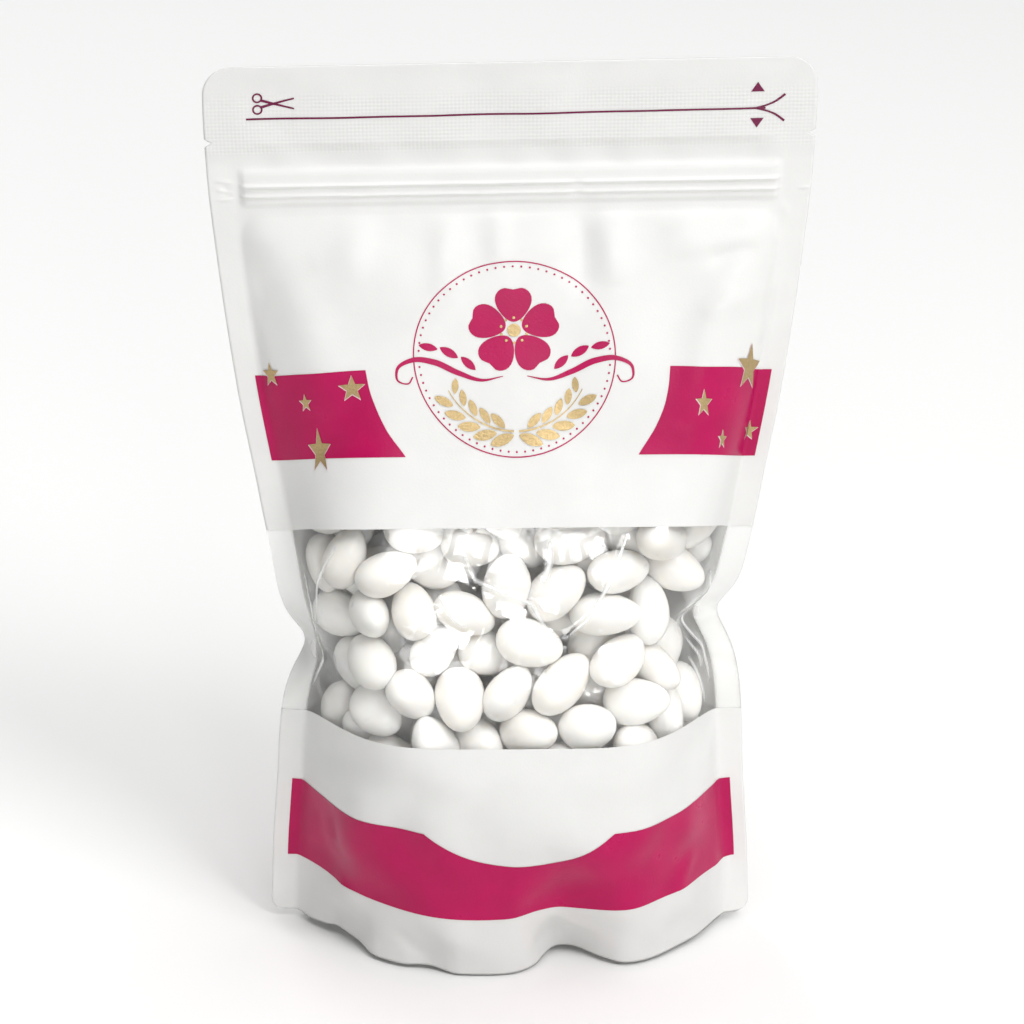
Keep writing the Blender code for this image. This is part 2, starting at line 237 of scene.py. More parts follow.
class FilmForm:
    """The film of one face as a table of points over flat places, read by interpolation."""

    def __init__(self, face):
        self.face = face
        self.t = np.unique(np.concatenate([np.arange(0, FLAT_HEIGHT + 0.1, 0.5),
                                           np.arange(253, 268, 0.2)]).round(3))
        self.s = np.linspace(-HALF_FLAT, HALF_FLAT, 381)
        self.points = self.body()
        self.normals = self.table_normals()
        s, t = np.meshgrid(self.s, self.t)
        relief = front_relief(s, t) if face == FRONT else back_relief(s, t)
        self.points = self.points + self.normals * relief[..., None]
        self.points[..., 2] = np.maximum(self.points[..., 2], 0.0)
        self.normals = self.table_normals()

    def body(self):
        t = self.t
        left = edge_heights(t, LEFT_DENT)
        right = edge_heights(t, RIGHT_DENT)
        left_x, left_y = inner_seam(left, LEFT_DENT)
        right_x, right_y = inner_seam(right, RIGHT_DENT)
        left_out, left_back = outer_edge(left, LEFT_DENT)
        right_out, right_back = outer_edge(right, RIGHT_DENT)
        bulge = smooth_through(BULGE, t)
        left_fullness = smooth_through(LEFT_FULLNESS, t)[:, None]
        right_fullness = smooth_through(RIGHT_FULLNESS, t)[:, None]
        rise = smooth_through(MIDDLE_RISE, t)
        xi = np.sin(np.linspace(-1, 1, 241) * math.pi / 2)
        fullness = np.where(xi[None, :] < 0, left_fullness, right_fullness)
        swell = (1 - np.abs(xi)[None, :] ** fullness) ** SEAM_SOFTNESS
        x = np.where(xi[None, :] < 0, xi * left_x[:, None], xi * right_x[:, None])
        steps = np.hypot(np.diff(x, axis=1), bulge[:, None] * np.diff(swell, axis=1))
        length = np.concatenate([np.zeros((len(t), 1)), np.cumsum(steps, axis=1)], axis=1)
        table = np.zeros((len(t), len(self.s), 3))
        inside = np.abs(self.s) <= HALF_FILM
        body_s = self.s[inside]
        for row in range(len(t)):
            wanted = (body_s / HALF_FILM + 1) / 2 * length[row, -1]
            px = np.interp(wanted, length[row], x[row])
            ps = np.interp(wanted, length[row], swell[row])
            share = (np.interp(wanted, length[row], xi) + 1) / 2
            table[row, inside, 0] = px
            table[row, inside, 1] = (left_y[row] + (right_y[row] - left_y[row]) * share
                                     + self.face * bulge[row] * ps)
            table[row, inside, 2] = left[row] + (right[row] - left[row]) * share + rise[row] * ps
        out = np.clip((np.abs(self.s) - HALF_FILM) / SIDE_SEAL, 0, 1)
        for side, seam_x, seam_y, edge_x, edge_y, height in (
                (-1, -left_x, left_y, -left_out, left_back, left),
                (1, right_x, right_y, right_out, right_back, right)):
            fin = (self.s * side > HALF_FILM)
            share = out[fin][None, :]
            table[:, fin, 0] = seam_x[:, None] + (edge_x - seam_x)[:, None] * share
            table[:, fin, 1] = seam_y[:, None] + (edge_y - seam_y)[:, None] * share
            table[:, fin, 2] = height[:, None]
        if self.face == FRONT:
            depth = smooth_through(BUCKLE_DEPTH, t)[:, None]
            table[..., 1] += depth * np.exp(-((table[..., 0] - BUCKLE_X) / BUCKLE_HALF_WIDTH) ** 2)
            push, rise_at_rim = front_push(self.s[None, :], t[:, None])
            table[..., 1] -= push
            table[..., 2] += rise_at_rim
        lift = np.clip((t - SLOPE_STARTS) / (FLAT_HEIGHT - SLOPE_STARTS), 0, 1)
        table[..., 2] += SIDE_SLOPE * lift[:, None] * table[..., 0]
        table[..., 1] += self.face * HALF_FIN_THICKNESS
        return table

    def table_normals(self):
        across = np.gradient(self.points, self.s, axis=1)
        up = np.gradient(self.points, self.t, axis=0)
        normal = np.cross(across, up) * -self.face
        return normal / np.linalg.norm(normal, axis=2, keepdims=True)

    def read(self, table, s, t):
        """Bilinear reading of a table at flat places."""
        column = np.clip((np.asarray(s) + HALF_FLAT) / (2 * HALF_FLAT) * (len(self.s) - 1),
                         0, len(self.s) - 1.001)
        j = column.astype(int)
        u = (column - j)[..., None]
        t = np.clip(t, self.t[0], self.t[-1] - 1e-6)
        i = np.clip(np.searchsorted(self.t, t, side="right") - 1, 0, len(self.t) - 2)
        v = ((t - self.t[i]) / (self.t[i + 1] - self.t[i]))[..., None]
        return ((table[i, j] * (1 - u) + table[i, j + 1] * u) * (1 - v)
                + (table[i + 1, j] * (1 - u) + table[i + 1, j + 1] * u) * v)

    def at(self, s, t, offset=0.0):
        point = self.read(self.points, s, t)
        if offset:
            point = point + self.read(self.normals, s, t) * offset
        return point


# Closure: flat heights of its band and ridges, its half length and the place where it is crushed
ZIP_BOTTOM = 254.6
ZIP_TOP = 266.0
ZIP_RIDGES = (257.8, 261.2)
ZIP_HALF_LENGTH = 84.5
CRUSH_S = 21.0

# Creases of the clear film: path of flat places, height and width
WINDOW_CREASES = [
    ([(-17, 138), (-12, 128), (-7, 126), (7, 120), (14, 110), (20, 108)], 0.5, 0.9),
    ([(20, 108), (26, 114), (29, 121), (33, 129), (37, 141)], 0.55, 0.9),
    ([(-24, 124), (-18, 116), (-13, 112)], 0.4, 1.0),
    ([(12, 141), (12, 133), (10, 126)], 0.35, 1.6),
    ([(-83, 106), (-80, 118), (-82, 128)], 0.5, 1.0),
    ([(-86, 84), (-81, 96), (-84, 108)], 0.6, 0.8),
    ([(84, 86), (79, 98), (74, 110), (80, 122)], 0.7, 1.0),
    ([(76, 128), (82, 120), (86, 112)], 0.5, 0.9),
    ([(66, 98), (74, 88), (79, 79)], 0.4, 0.8), ([(70, 104), (76, 92)], 0.4, 0.7),
    ([(-60, 138), (-70, 126), (-76, 112)], 0.4, 0.8),
]

# Facets of the clear film that catch the light: flat place, half sizes, turn and slopes in degrees
GLARE_FACETS = [
    ((13.2, 135), (3.6, 3.4), 4, (5.7, 0.5)),
    ((12.7, 127.5), (3.8, 3.4), 0, (5.7, 4.2)),
    ((12.2, 120), (3.6, 3.4), -6, (5.7, 6.2)),
    ((-14.5, 138), (4.8, 3.2), -12, (6.2, 1.0)),
    ((-16.5, 130.5), (5.7, 3.4), -12, (6.2, 3.8)),
    ((-19.0, 111.5), (8.0, 4.2), -28, (5.7, 1.0)),
    ((27.5, 137), (3.4, 3.4), 18, (4.6, 0.6)),
    ((29.0, 129), (3.2, 3.6), 12, (4.6, 4.0)),
    ((1.0, 118), (5.4, 3.2), -30, (5.7, 5.0)),
    ((-6.0, 124.5), (3.2, 2.2), 24, (5.6, 6.2)),
]
FACET_EDGE = 1.6


def facet(s, t, place, half, turn, slope):
    """A small flat of the film, tilted to the right and up by slopes in degrees, with folded edges."""
    angle = math.radians(turn)
    across, up = s - place[0], t - place[1]
    x = across * math.cos(angle) + up * math.sin(angle)
    y = up * math.cos(angle) - across * math.sin(angle)
    inside = ((1 - ramp(np.abs(x), half[0], half[0] + FACET_EDGE))
              * (1 - ramp(np.abs(y), half[1], half[1] + FACET_EDGE)))
    to_right, upwards = (math.tan(math.radians(degrees)) for degrees in slope)
    return inside * (-to_right * across - upwards * up)


# Rounded edge of the swollen body under the closure
PILLOW_HALF_WIDTH = 86.6
PILLOW_TOP = 251.5
PILLOW_CORNER = 9.0


def zip_relief(s, t):
    """The closure: a raised band with two ridges, crushed at one place."""
    ends = 1 - ramp(np.abs(s), ZIP_HALF_LENGTH - 1.0, ZIP_HALF_LENGTH + 0.8)
    band = ramp(t, ZIP_BOTTOM - 1.2, ZIP_BOTTOM + 0.8) * (1 - ramp(t, ZIP_TOP - 1.0, ZIP_TOP + 1.2))
    ridges = sum(np.exp(-((t - place) / 0.62) ** 2) for place in ZIP_RIDGES)
    crush = 1 - 0.75 * np.exp(-((s - CRUSH_S) / 1.6) ** 2)
    wobble = 1 + 0.12 * waves(s, t * 0.3, 22, 5)
    return ends * (0.9 * band + 0.95 * ridges * crush * wobble)


def pillow(s, t, height, softness):
    """The body swells inside a rounded edge, along the side seams and under the closure."""
    x = np.abs(s) - (PILLOW_HALF_WIDTH - PILLOW_CORNER)
    y = t - (PILLOW_TOP - PILLOW_CORNER)
    outside = np.hypot(np.maximum(x, 0), np.maximum(y, 0)) + np.minimum(np.maximum(x, y), 0)
    inside = np.maximum(PILLOW_CORNER - outside, 0)
    return height * (1 - np.exp(-inside / softness)) * ramp(t, 150, 200)


def dent(s, t, place, half, depth):
    """A soft hollow round a flat place."""
    return -depth * np.exp(-((s - place[0]) / half[0]) ** 2 - ((t - place[1]) / half[1]) ** 2)


# Folds of the front: path of flat places, height and width
FRONT_FOLDS = [
    ([(-20, 252), (-22, 222)], 1.2, 5), ([(-4, 252), (-4, 232)], 0.9, 4), ([(22, 252), (24, 222)], -1.3, 5),
    ([(31, 252), (34, 224)], 1.2, 5), ([(-48, 252), (-52, 226)], 0.9, 6), ([(54, 252), (58, 234)], 0.9, 7),
    ([(84, 248), (68, 214), (60, 176)], 1.7, 7), ([(50, 244), (30, 206), (24, 170)], 0.7, 9),
    ([(-80, 248), (-68, 216), (-60, 180)], 1.3, 8), ([(-84, 226), (-62, 234)], -0.7, 4),
    ([(80, 238), (64, 233)], -1.2, 3), ([(82, 224), (62, 214)], 0.9, 4),
    ([(13, 18), (19, 14), (30, 10)], 0.8, 1.3), ([(-2, 20), (12, 26), (24, 30), (36, 27)], -0.8, 5),
    ([(-66, 22), (-50, 14)], 0.7, 2.0), ([(62, 20), (72, 32)], 0.6, 3.0), ([(-40, 12), (-28, 4)], -0.6, 2.0),
]
# Marks pressed into the side seals by the ends of the closure
SEAL_MARKS = [
    ([(-93, 263), (-87.5, 262)], 0.35, 0.5), ([(-92.5, 260.2), (-88, 258.6)], 0.35, 0.6),
    ([(-93, 256.4), (-87.5, 256.8)], 0.4, 0.5), ([(-90, 262), (-89, 257)], -0.3, 0.8),
    ([(91.6, 257.3), (95, 257.8)], 0.35, 0.4), ([(86, 252.5), (89, 248.5)], 0.5, 0.8),
    ([(87.6, 250), (87.2, 238)], 0.35, 0.7), ([(88.4, 236), (88.0, 200)], 0.3, 0.8),
]
# Soft hollows of the front: flat place, half sizes and depth
FRONT_DENTS = [
    ((-58, 64), (13, 6), 2.0), ((-30, 60), (9, 5), 0.9), ((66, 62), (10, 6), 1.2), ((-38, 9), (16, 7), 1.4),
    ((-4, 30), (14, 8), 1.0), ((30, 12), (10, 6), 1.5), ((58, 30), (14, 9), 0.9), ((-72, 34), (8, 14), 1.0),
    ((12, 8), (5, 8), 1.8),
]
HOLLOW = (267.2, 273.2)


def front_relief(s, t):
    """Everything that disturbs the front film: closure, pillow, folds, dents and crinkles."""
    body = (1 - ramp(np.abs(s), HALF_FILM - 6, HALF_FILM)) * ramp(t, 3, 14) * (1 - ramp(t, 244, 254))
    in_header = ramp(t, 270, 276) * (1 - ramp(t, 293, 300)) * (1 - ramp(np.abs(s), 82, 92))
    relief = zip_relief(s, t)
    relief += in_header * 0.34 * waves(s * 0.8, t, 27, 3)
    hollow = ramp(t, HOLLOW[0] - 1.2, HOLLOW[0] + 0.6) * (1 - ramp(t, HOLLOW[1] - 1.0, HOLLOW[1] + 2.0))
    across = 1 - ramp(np.abs(s), 74, 86)
    relief -= 0.75 * across * hollow * (1 + 0.45 * waves(s, t * 0.2, 17, 31))
    to_right = ramp(s, -70, 40)
    relief += pillow(s, t, 2.3, 6.0) * (1 - to_right) + pillow(s, t, 1.7, 2.6) * to_right
    relief += body * (1 - ramp(t, 58, 74)) * 0.8 * waves(s, t, 23, 7)
    relief += body * ramp(t, 140, 160) * 0.42 * waves(s * 0.7, t * 0.5, 24, 11)
    window = ramp(t, 70, 80) * (1 - ramp(t, 138, 146))
    relief += body * window * 0.14 * waves(s, t, 17, 23)
    for place, half, turn, slope in GLARE_FACETS:
        relief += facet(s, t, place, half, turn, slope)
    for route, height, width in WINDOW_CREASES + FRONT_FOLDS + SEAL_MARKS:
        relief += height * fold(s, t, route, width)
    for place, half, depth in FRONT_DENTS:
        relief += dent(s, t, place, half, depth)
    # Dents round the waist
    for side, height in ((-1, 97), (1, 108)):
        relief -= 1.4 * fold(s, t, [(side * 86, height), (side * 66, height + 1)], 3.2)
        relief += 1.0 * fold(s, t, [(side * 84, height + 9), (side * 70, height + 16)], 4)
        relief += 1.0 * fold(s, t, [(side * 84, height - 9), (side * 70, height - 14)], 4)
    return relief


def back_relief(s, t):
    body = (1 - ramp(np.abs(s), HALF_FILM - 6, HALF_FILM)) * ramp(t, 3, 14) * (1 - ramp(t, 240, 250))
    relief = zip_relief(s, t) + pillow(s, t, 1.8, 4.0)
    relief += body * 0.8 * waves(s, t, 25, 17) * (1 - ramp(t, 170, 200))
    relief += body * 0.5 * waves(s * 0.7, t * 0.5, 26, 19)
    for place, depth, width, end in ((-30, 0.9, 5, 222), (12, 0.8, 5, 216), (40, -0.9, 5, 226)):
        relief += depth * fold(s, t, [(place, 252), (place * 1.06, end)], width)
    for side, height in ((-1, 97), (1, 108)):
        relief -= 1.4 * fold(s, t, [(side * 86, height), (side * 62, height + 2)], 3.6)
        relief += 1.0 * fold(s, t, [(side * 84, height + 9), (side * 68, height + 17)], 4)
    return relief


FILM = {FRONT: FilmForm(FRONT), BACK: FilmForm(BACK)}


def window_bow(s):
    return WINDOW_BOW * (1 - np.clip(np.abs(s) / HALF_FILM, 0, 1) ** 6)


def bowed(s, t):
    """Flat heights bowed up at the middle, as the print is near the window."""
    return t + window_bow(s) * smooth_through(BOW_SHARE, t)


def side_limit(t):
    """Half width of the flat film at a flat height, with its rounded corners and tear notches."""
    cut = np.zeros_like(t)
    for radius, away in ((TOP_CORNER_RADIUS, FLAT_HEIGHT - t), (BASE_CORNER_RADIUS, t)):
        near = np.clip(radius - away, 0, radius)
        cut = np.maximum(cut, radius - np.sqrt(radius ** 2 - near ** 2))
    notch = NOTCH_DEPTH * np.clip(1 - np.abs(t - NOTCH_HEIGHT) / NOTCH_HALF_OPENING, 0, 1)
    return HALF_FLAT - np.maximum(cut, notch)


# Mesh making


def deselect():
    if bpy.context.object and bpy.context.object.mode != "OBJECT":
        bpy.ops.object.mode_set(mode="OBJECT")
    bpy.ops.object.select_all(action="DESELECT")


def name_piece(piece, name):
    piece.name = name
    piece.data.name = name


def grid(name, columns, rows):
    """A flat grid primitive of this many faces across and up."""
    deselect()
    bpy.ops.mesh.primitive_grid_add(x_subdivisions=columns, y_subdivisions=rows, size=1.0)
    made = bpy.context.object
    name_piece(made, name)
    return made


def put_points(piece, points):
    piece.data.vertices.foreach_set("co", (np.asarray(points) * MM).ravel())
    piece.data.update()


def put_flat_uv(piece, s, t):
    """The piece's UV map holds the flat place of each corner, in metres."""
    layer = piece.data.uv_layers[0] if piece.data.uv_layers else piece.data.uv_layers.new()
    layer.name = "flat_place"
    corners = np.empty(len(piece.data.loops), dtype=np.int32)
    piece.data.loops.foreach_get("vertex_index", corners)
    flat = np.column_stack([np.ravel(s), np.ravel(t)])[corners] * MM
    layer.data.foreach_set("uv", flat.ravel())


def smooth(piece):
    piece.data.shade_smooth()


def to_outline(s, t):
    """Draw the outer columns in to the pouch's outline, with its corners and notches."""
    share = np.clip((np.abs(s) - SIDE_COLUMNS_START) / (HALF_FLAT - SIDE_COLUMNS_START), 0, 1)
    return np.where(share > 0,
                    np.sign(s) * (SIDE_COLUMNS_START + (side_limit(t) - SIDE_COLUMNS_START) * share), s)


# Gap between the front's and the back's part of the UV map, and reach of a strip on it, in millimetres
UV_GAP = 20
STRIP_UV_REACH = 80
# Distance between the two films at which the base gusset has its full rise, and its least rise
GUSSET_FULL_AT = 40
GUSSET_LEAST = 0.2


def film_sheet(name, faces, columns, rows, lift=0.0):
    """A grid laid on the film. Each column has its face and flat place across; rows are flat heights."""
    faces = np.asarray(faces)
    s, t = np.meshgrid(columns, rows)
    s = to_outline(s, t)
    front = np.broadcast_to(faces == FRONT, s.shape)
    t = np.where(front, bowed(s, t), t)
    points = np.where(front[..., None], FILM[FRONT].at(s, t, lift), FILM[BACK].at(s, t, lift))
    made = grid(name, len(columns) - 1, len(rows) - 1)
    put_points(made, points.reshape(-1, 3))
    put_flat_uv(made, np.where(front, s, s + 2 * HALF_FLAT + UV_GAP), t)
    smooth(made)
    return made


def bridge_sheet(name, columns, t, heights, insets):
    """A strip from the front film to the back film at one flat height, along given shares between them."""
    s, share = np.meshgrid(columns, insets)
    height = np.broadcast_to(np.asarray(heights)[:, None], s.shape)
    flat = np.full(s.shape, float(t))
    s = to_outline(s, flat)
    front = FILM[FRONT].at(s, flat)
    back = FILM[BACK].at(s, flat)
    points = front + (back - front) * share[..., None]
    depth = np.clip((back - front)[..., 1] / GUSSET_FULL_AT, 0, 1)
    points[..., 2] = np.maximum(points[..., 2] + height * depth, np.where(height == 0, 0, GUSSET_LEAST))
    made = grid(name, len(columns) - 1, len(insets) - 1)
    put_points(made, points.reshape(-1, 3))
    put_flat_uv(made, s, flat + share * STRIP_UV_REACH)
    smooth(made)
    return made


def join(pieces, name, merge=0.00003):
    deselect()
    for piece in pieces:
        piece.select_set(True)
    bpy.context.view_layer.objects.active = pieces[0]
    if len(pieces) > 1:
        bpy.ops.object.join()
    made = bpy.context.object
    name_piece(made, name)
    if merge:
        bpy.ops.object.mode_set(mode="EDIT")
        bpy.ops.mesh.select_all(action="SELECT")
        bpy.ops.mesh.remove_doubles(threshold=merge)
        bpy.ops.object.mode_set(mode="OBJECT")
    return made


def wear(piece, material):
    piece.data.materials.clear()
    piece.data.materials.append(material)
    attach(piece, "root")


def spaced(start, end, step):
    return np.linspace(start, end, max(2, int(round((end - start) / step)) + 1))


def rows_through(*stretches):
    """Flat heights through stretches given as (start, end, step)."""
    return np.unique(np.concatenate([spaced(*stretch) for stretch in stretches]).round(5))


SIDE_COLUMNS_START = 83.0
COLUMNS = rows_through((-95, -90, 0.8), (-90, -83, 1.0), (-83, 83, 1.35), (83, 90, 1.0), (90, 95, 0.8))
LOWER_ROWS = rows_through((0, 5, 0.7), (5, WINDOW_BOTTOM, 1.3))
WINDOW_ROWS = spaced(WINDOW_BOTTOM, WINDOW_TOP, 1.1)
UPPER_ROWS = rows_through((WINDOW_TOP, 253, 1.5), (253, 256.6, 0.6), (256.6, 262.4, 0.3),
                          (262.4, 268, 0.7), (268, 273.9, 1.2), (273.9, 276.7, 0.2), (276.7, 291, 1.4),
                          (291, 298, 0.8), (298, FLAT_HEIGHT, 0.25))


class PouchSettings(bpy.types.PropertyGroup):
    """Sizes and colours of the pouch that a user would change."""
    film_colour: bpy.props.FloatVectorProperty(
        name="Film", description="White of the printed film", subtype="COLOR", size=3,
        min=0, max=1, default=(0.775, 0.77, 0.755))
    ink_colour: bpy.props.FloatVectorProperty(
        name="Bands", description="Colour of the printed bands", subtype="COLOR", size=3,
        min=0, max=1, default=(0.47, 0.002, 0.088))
    gold_colour: bpy.props.FloatVectorProperty(
        name="Gold", description="Metallic ink of the stars and the sprig", subtype="COLOR", size=3,
        min=0, max=1, default=(0.50, 0.37, 0.185))
    sugar_colour: bpy.props.FloatVectorProperty(
        name="Sugar shell", description="Coating of the almonds", subtype="COLOR", size=3,
        min=0, max=1, default=(0.95, 0.935, 0.91))
    almond_length: bpy.props.FloatProperty(
        name="Almond length", description="Length of a middling almond", unit="LENGTH", default=0.0215)
    almond_width: bpy.props.FloatProperty(
        name="Almond width", description="Width of a middling almond", unit="LENGTH", default=0.0150)
    almond_thickness: bpy.props.FloatProperty(
        name="Almond thickness", description="Thickness of a middling almond", unit="LENGTH",
        default=0.0124)
    seed: bpy.props.IntProperty(
        name="Seed", description="Draw of the almonds' places and shapes", default=4, min=0)


# Materials


def plain_material(name):
    made = bpy.data.materials.new(name)
    made.use_nodes = True
    return made, made.node_tree.nodes, made.node_tree.links, made.node_tree.nodes["Principled BSDF"]


def math_node(nodes, links, operation, *values):
    """One math node, fed by sockets or plain numbers."""
    made = nodes.new("ShaderNodeMath")
    made.operation = operation
    for socket, value in zip(made.inputs, values):
        if isinstance(value, bpy.types.NodeSocket):
            links.new(value, socket)
        else:
            socket.default_value = value
    return made.outputs[0]


def smooth_step(nodes, links, value, start, end):
    """A ramp node from zero at start to one at end."""
    made = nodes.new("ShaderNodeMapRange")
    made.interpolation_type = "SMOOTHSTEP"
    links.new(value, made.inputs["Value"])
    made.inputs["From Min"].default_value = start
    made.inputs["From Max"].default_value = end
    return made.outputs["Result"]


def noise(nodes, links, place, feature, detail=2.0, roughness=0.5):
    """Noise whose features are about this long, in metres."""
    made = nodes.new("ShaderNodeTexNoise")
    made.inputs["Scale"].default_value = 1 / feature
    made.inputs["Detail"].default_value = detail
    made.inputs["Roughness"].default_value = roughness
    links.new(place, made.inputs["Vector"])
    return made.outputs[0]


def mix_colour(nodes, links, shader, amount, colour, other):
    """Base colour that goes from one colour to another by an amount."""
    mix = nodes.new("ShaderNodeMix")
    mix.data_type = "RGBA"
    links.new(amount, mix.inputs[0])
    mix.inputs[6].default_value = (*colour, 1)
    mix.inputs[7].default_value = (*other, 1)
    links.new(mix.outputs[2], shader.inputs["Base Color"])


def bump(nodes, links, shader, height, strength=1.0):
    """Fine relief in the surface, from a height in metres."""
    relief = nodes.new("ShaderNodeBump")
    relief.inputs["Strength"].default_value = strength
    relief.inputs["Distance"].default_value = 1.0
    links.new(height, relief.inputs["Height"])
    links.new(relief.outputs[0], shader.inputs["Normal"])


# Texture of the film, in metres
GRAIN_SIZE = 0.0008
GRAIN_HEIGHT = 0.00007
CLOUD_SIZE = 0.014
RIB_PITCH = 0.0012
RIB_HEIGHT = 0.00007
RIBBED = (0.2705, 0.2905)
# Painted shade: the film's colour is darkened at its foot and in the header, standing in for the shade that
# falls there. Each pair is where the tone starts to turn and where it has turned, in metres: up from the
# base edge, out from the middle where the seals stay pale, and up again.
PAINTED_FOOT_SHADE = (0.008, 0.085)
SEALS = (0.078, 0.088)
PAINTED_HEADER_SHADE_SPAN = (0.266, 0.271)
PAINTED_HEADER_SHADE = 0.45


def film_texture():
    """Node group of the film's surface: paper-like grain, cloudy tone, header ribs and painted shade at its
    ends.
    """
    if "film_texture" in bpy.data.node_groups:
        return bpy.data.node_groups["film_texture"]
    group = bpy.data.node_groups.new("film_texture", "ShaderNodeTree")
    for name in ("Height", "Grain", "Cloud", "Painted Shade"):
        group.interface.new_socket(name, in_out="OUTPUT", socket_type="NodeSocketFloat")
    nodes, links = group.nodes, group.links
    place = nodes.new("ShaderNodeUVMap")
    place.uv_map = "flat_place"
    apart = nodes.new("ShaderNodeSeparateXYZ")
    links.new(place.outputs[0], apart.inputs[0])
    across, up = apart.outputs[0], apart.outputs[1]
    grain = noise(nodes, links, place.outputs[0], GRAIN_SIZE, 3.0, 0.6)
    cloud = noise(nodes, links, place.outputs[0], CLOUD_SIZE, 3.0)
    turns = 2 * math.pi / RIB_PITCH
    rows = math_node(nodes, links, "SINE", math_node(nodes, links, "MULTIPLY", up, turns))
    columns = math_node(nodes, links, "SINE", math_node(nodes, links, "MULTIPLY", across, turns))
    ribs = math_node(nodes, links, "MULTIPLY_ADD", columns, 0.5, rows)
    low, high = RIBBED
    inside = math_node(nodes, links, "SUBTRACT", smooth_step(nodes, links, up, low, low + 0.002),
                       smooth_step(nodes, links, up, high - 0.003, high + 0.003))
    fade = math_node(nodes, links, "MULTIPLY", inside, cloud)
    ribs = math_node(nodes, links, "MULTIPLY", ribs, math_node(nodes, links, "MULTIPLY", fade, RIB_HEIGHT))
    height = math_node(nodes, links, "MULTIPLY_ADD", grain, GRAIN_HEIGHT, ribs)
    out = nodes.new("NodeGroupOutput")
    links.new(height, out.inputs["Height"])
    links.new(grain, out.inputs["Grain"])
    links.new(cloud, out.inputs["Cloud"])
    # Painted shade: darker towards the foot, though not on the seals, and in the header.
    seals = smooth_step(nodes, links, math_node(nodes, links, "ABSOLUTE", across), *SEALS)
    painted_shade = math_node(nodes, links, "SUBTRACT", 1.0, smooth_step(nodes, links, up, *PAINTED_FOOT_SHADE))
    painted_shade = math_node(nodes, links, "MULTIPLY", painted_shade, math_node(nodes, links, "SUBTRACT", 1.0, seals))
    header_shade_mask = smooth_step(nodes, links, up, *PAINTED_HEADER_SHADE_SPAN)
    links.new(math_node(nodes, links, "MULTIPLY_ADD", header_shade_mask, PAINTED_HEADER_SHADE, painted_shade), out.inputs["Painted Shade"])
    return group


def film_surface(name, colour, dark_share, roughness, metallic=0.0, grain_share=0.0, relief=1.0, painted_shade=0.0):
    """Material of the film or an ink on it, with the film's own grain, a cloudy tone and a share of painted
    shade at the ends.
    """
    made, nodes, links, shader = plain_material(name)
    texture = nodes.new("ShaderNodeGroup")
    texture.node_tree = film_texture()
    amount = math_node(nodes, links, "MULTIPLY_ADD", texture.outputs["Grain"], grain_share,
                       math_node(nodes, links, "MULTIPLY", texture.outputs["Cloud"], 1 - grain_share))
    darkened = math_node(nodes, links, "MULTIPLY", smooth_step(nodes, links, amount, 0.3, 0.7), 1 - painted_shade)
    amount = math_node(nodes, links, "MULTIPLY_ADD", texture.outputs["Painted Shade"], painted_shade, darkened)
    mix_colour(nodes, links, shader, amount, colour, [part * dark_share for part in colour])
    rough = math_node(nodes, links, "MULTIPLY_ADD", texture.outputs["Cloud"], 0.10, roughness - 0.05)
    links.new(rough, shader.inputs["Roughness"])
    shader.inputs["Metallic"].default_value = metallic
    bump(nodes, links, shader, texture.outputs["Height"], relief)
    return made, shader


def film_material(colour):
    # The white film carries painted shade at its foot and in its header.
    return film_surface("white_film", colour, 0.88, 0.42, relief=0.6, painted_shade=0.82)[0]


def floor_material(colour):
    """Plain matte ground with a slightly uneven finish."""
    made, nodes, links, shader = plain_material("pale_floor")
    uneven = noise(nodes, links, nodes.new("ShaderNodeTexCoord").outputs["Object"], 0.3, 2.0)
    shader.inputs["Base Color"].default_value = (*colour, 1)
    links.new(math_node(nodes, links, "MULTIPLY_ADD", uneven, 0.1, 0.65), shader.inputs["Roughness"])
    return made


def ink_material(name, colour):
    """Smooth printed ink with a soft sheen."""
    made, shader = film_surface(name, colour, 0.90, 0.29, relief=0.8)
    shader.inputs["Specular IOR Level"].default_value = 0.24
    return made


def gold_material(name, colour):
    """Metallic ink with fine grain."""
    return film_surface(name, colour, 0.80, 0.34, 0.9, grain_share=0.9, relief=1.2)[0]


# Share of each part of the sugar's colour that is left in its creamier patches
CREAMY = (0.965, 0.95, 0.925)


def sugar_material(colour):
    """Polished sugar shell: nearly white, a little see-through, with faint dimples and rubbed patches."""
    made, nodes, links, shader = plain_material("sugar_shell")
    place = nodes.new("ShaderNodeTexCoord").outputs["Object"]
    shade = nodes.new("ShaderNodeAttribute")
    shade.attribute_name = "shade"
    patches = noise(nodes, links, place, 0.006, 3.0)
    dust = noise(nodes, links, place, 0.0009, 3.0, 0.65)
    amount = math_node(nodes, links, "MULTIPLY_ADD", patches, 0.35,
                       math_node(nodes, links, "MULTIPLY", shade.outputs["Fac"], 0.65))
    mix_colour(nodes, links, shader, amount, colour, [part * share for part, share in zip(colour, CREAMY)])
    rough = math_node(nodes, links, "MULTIPLY_ADD", patches, 0.22, 0.20)
    links.new(rough, shader.inputs["Roughness"])
    shader.inputs["Subsurface Weight"].default_value = 0.55
    shader.inputs["Subsurface Radius"].default_value = (1.0, 0.9, 0.75)
    shader.inputs["Subsurface Scale"].default_value = 0.004
    height = math_node(nodes, links, "MULTIPLY_ADD", dust, 0.000025,
                       math_node(nodes, links, "MULTIPLY", patches, 0.00012))
    bump(nodes, links, shader, height, 0.5)
    return made


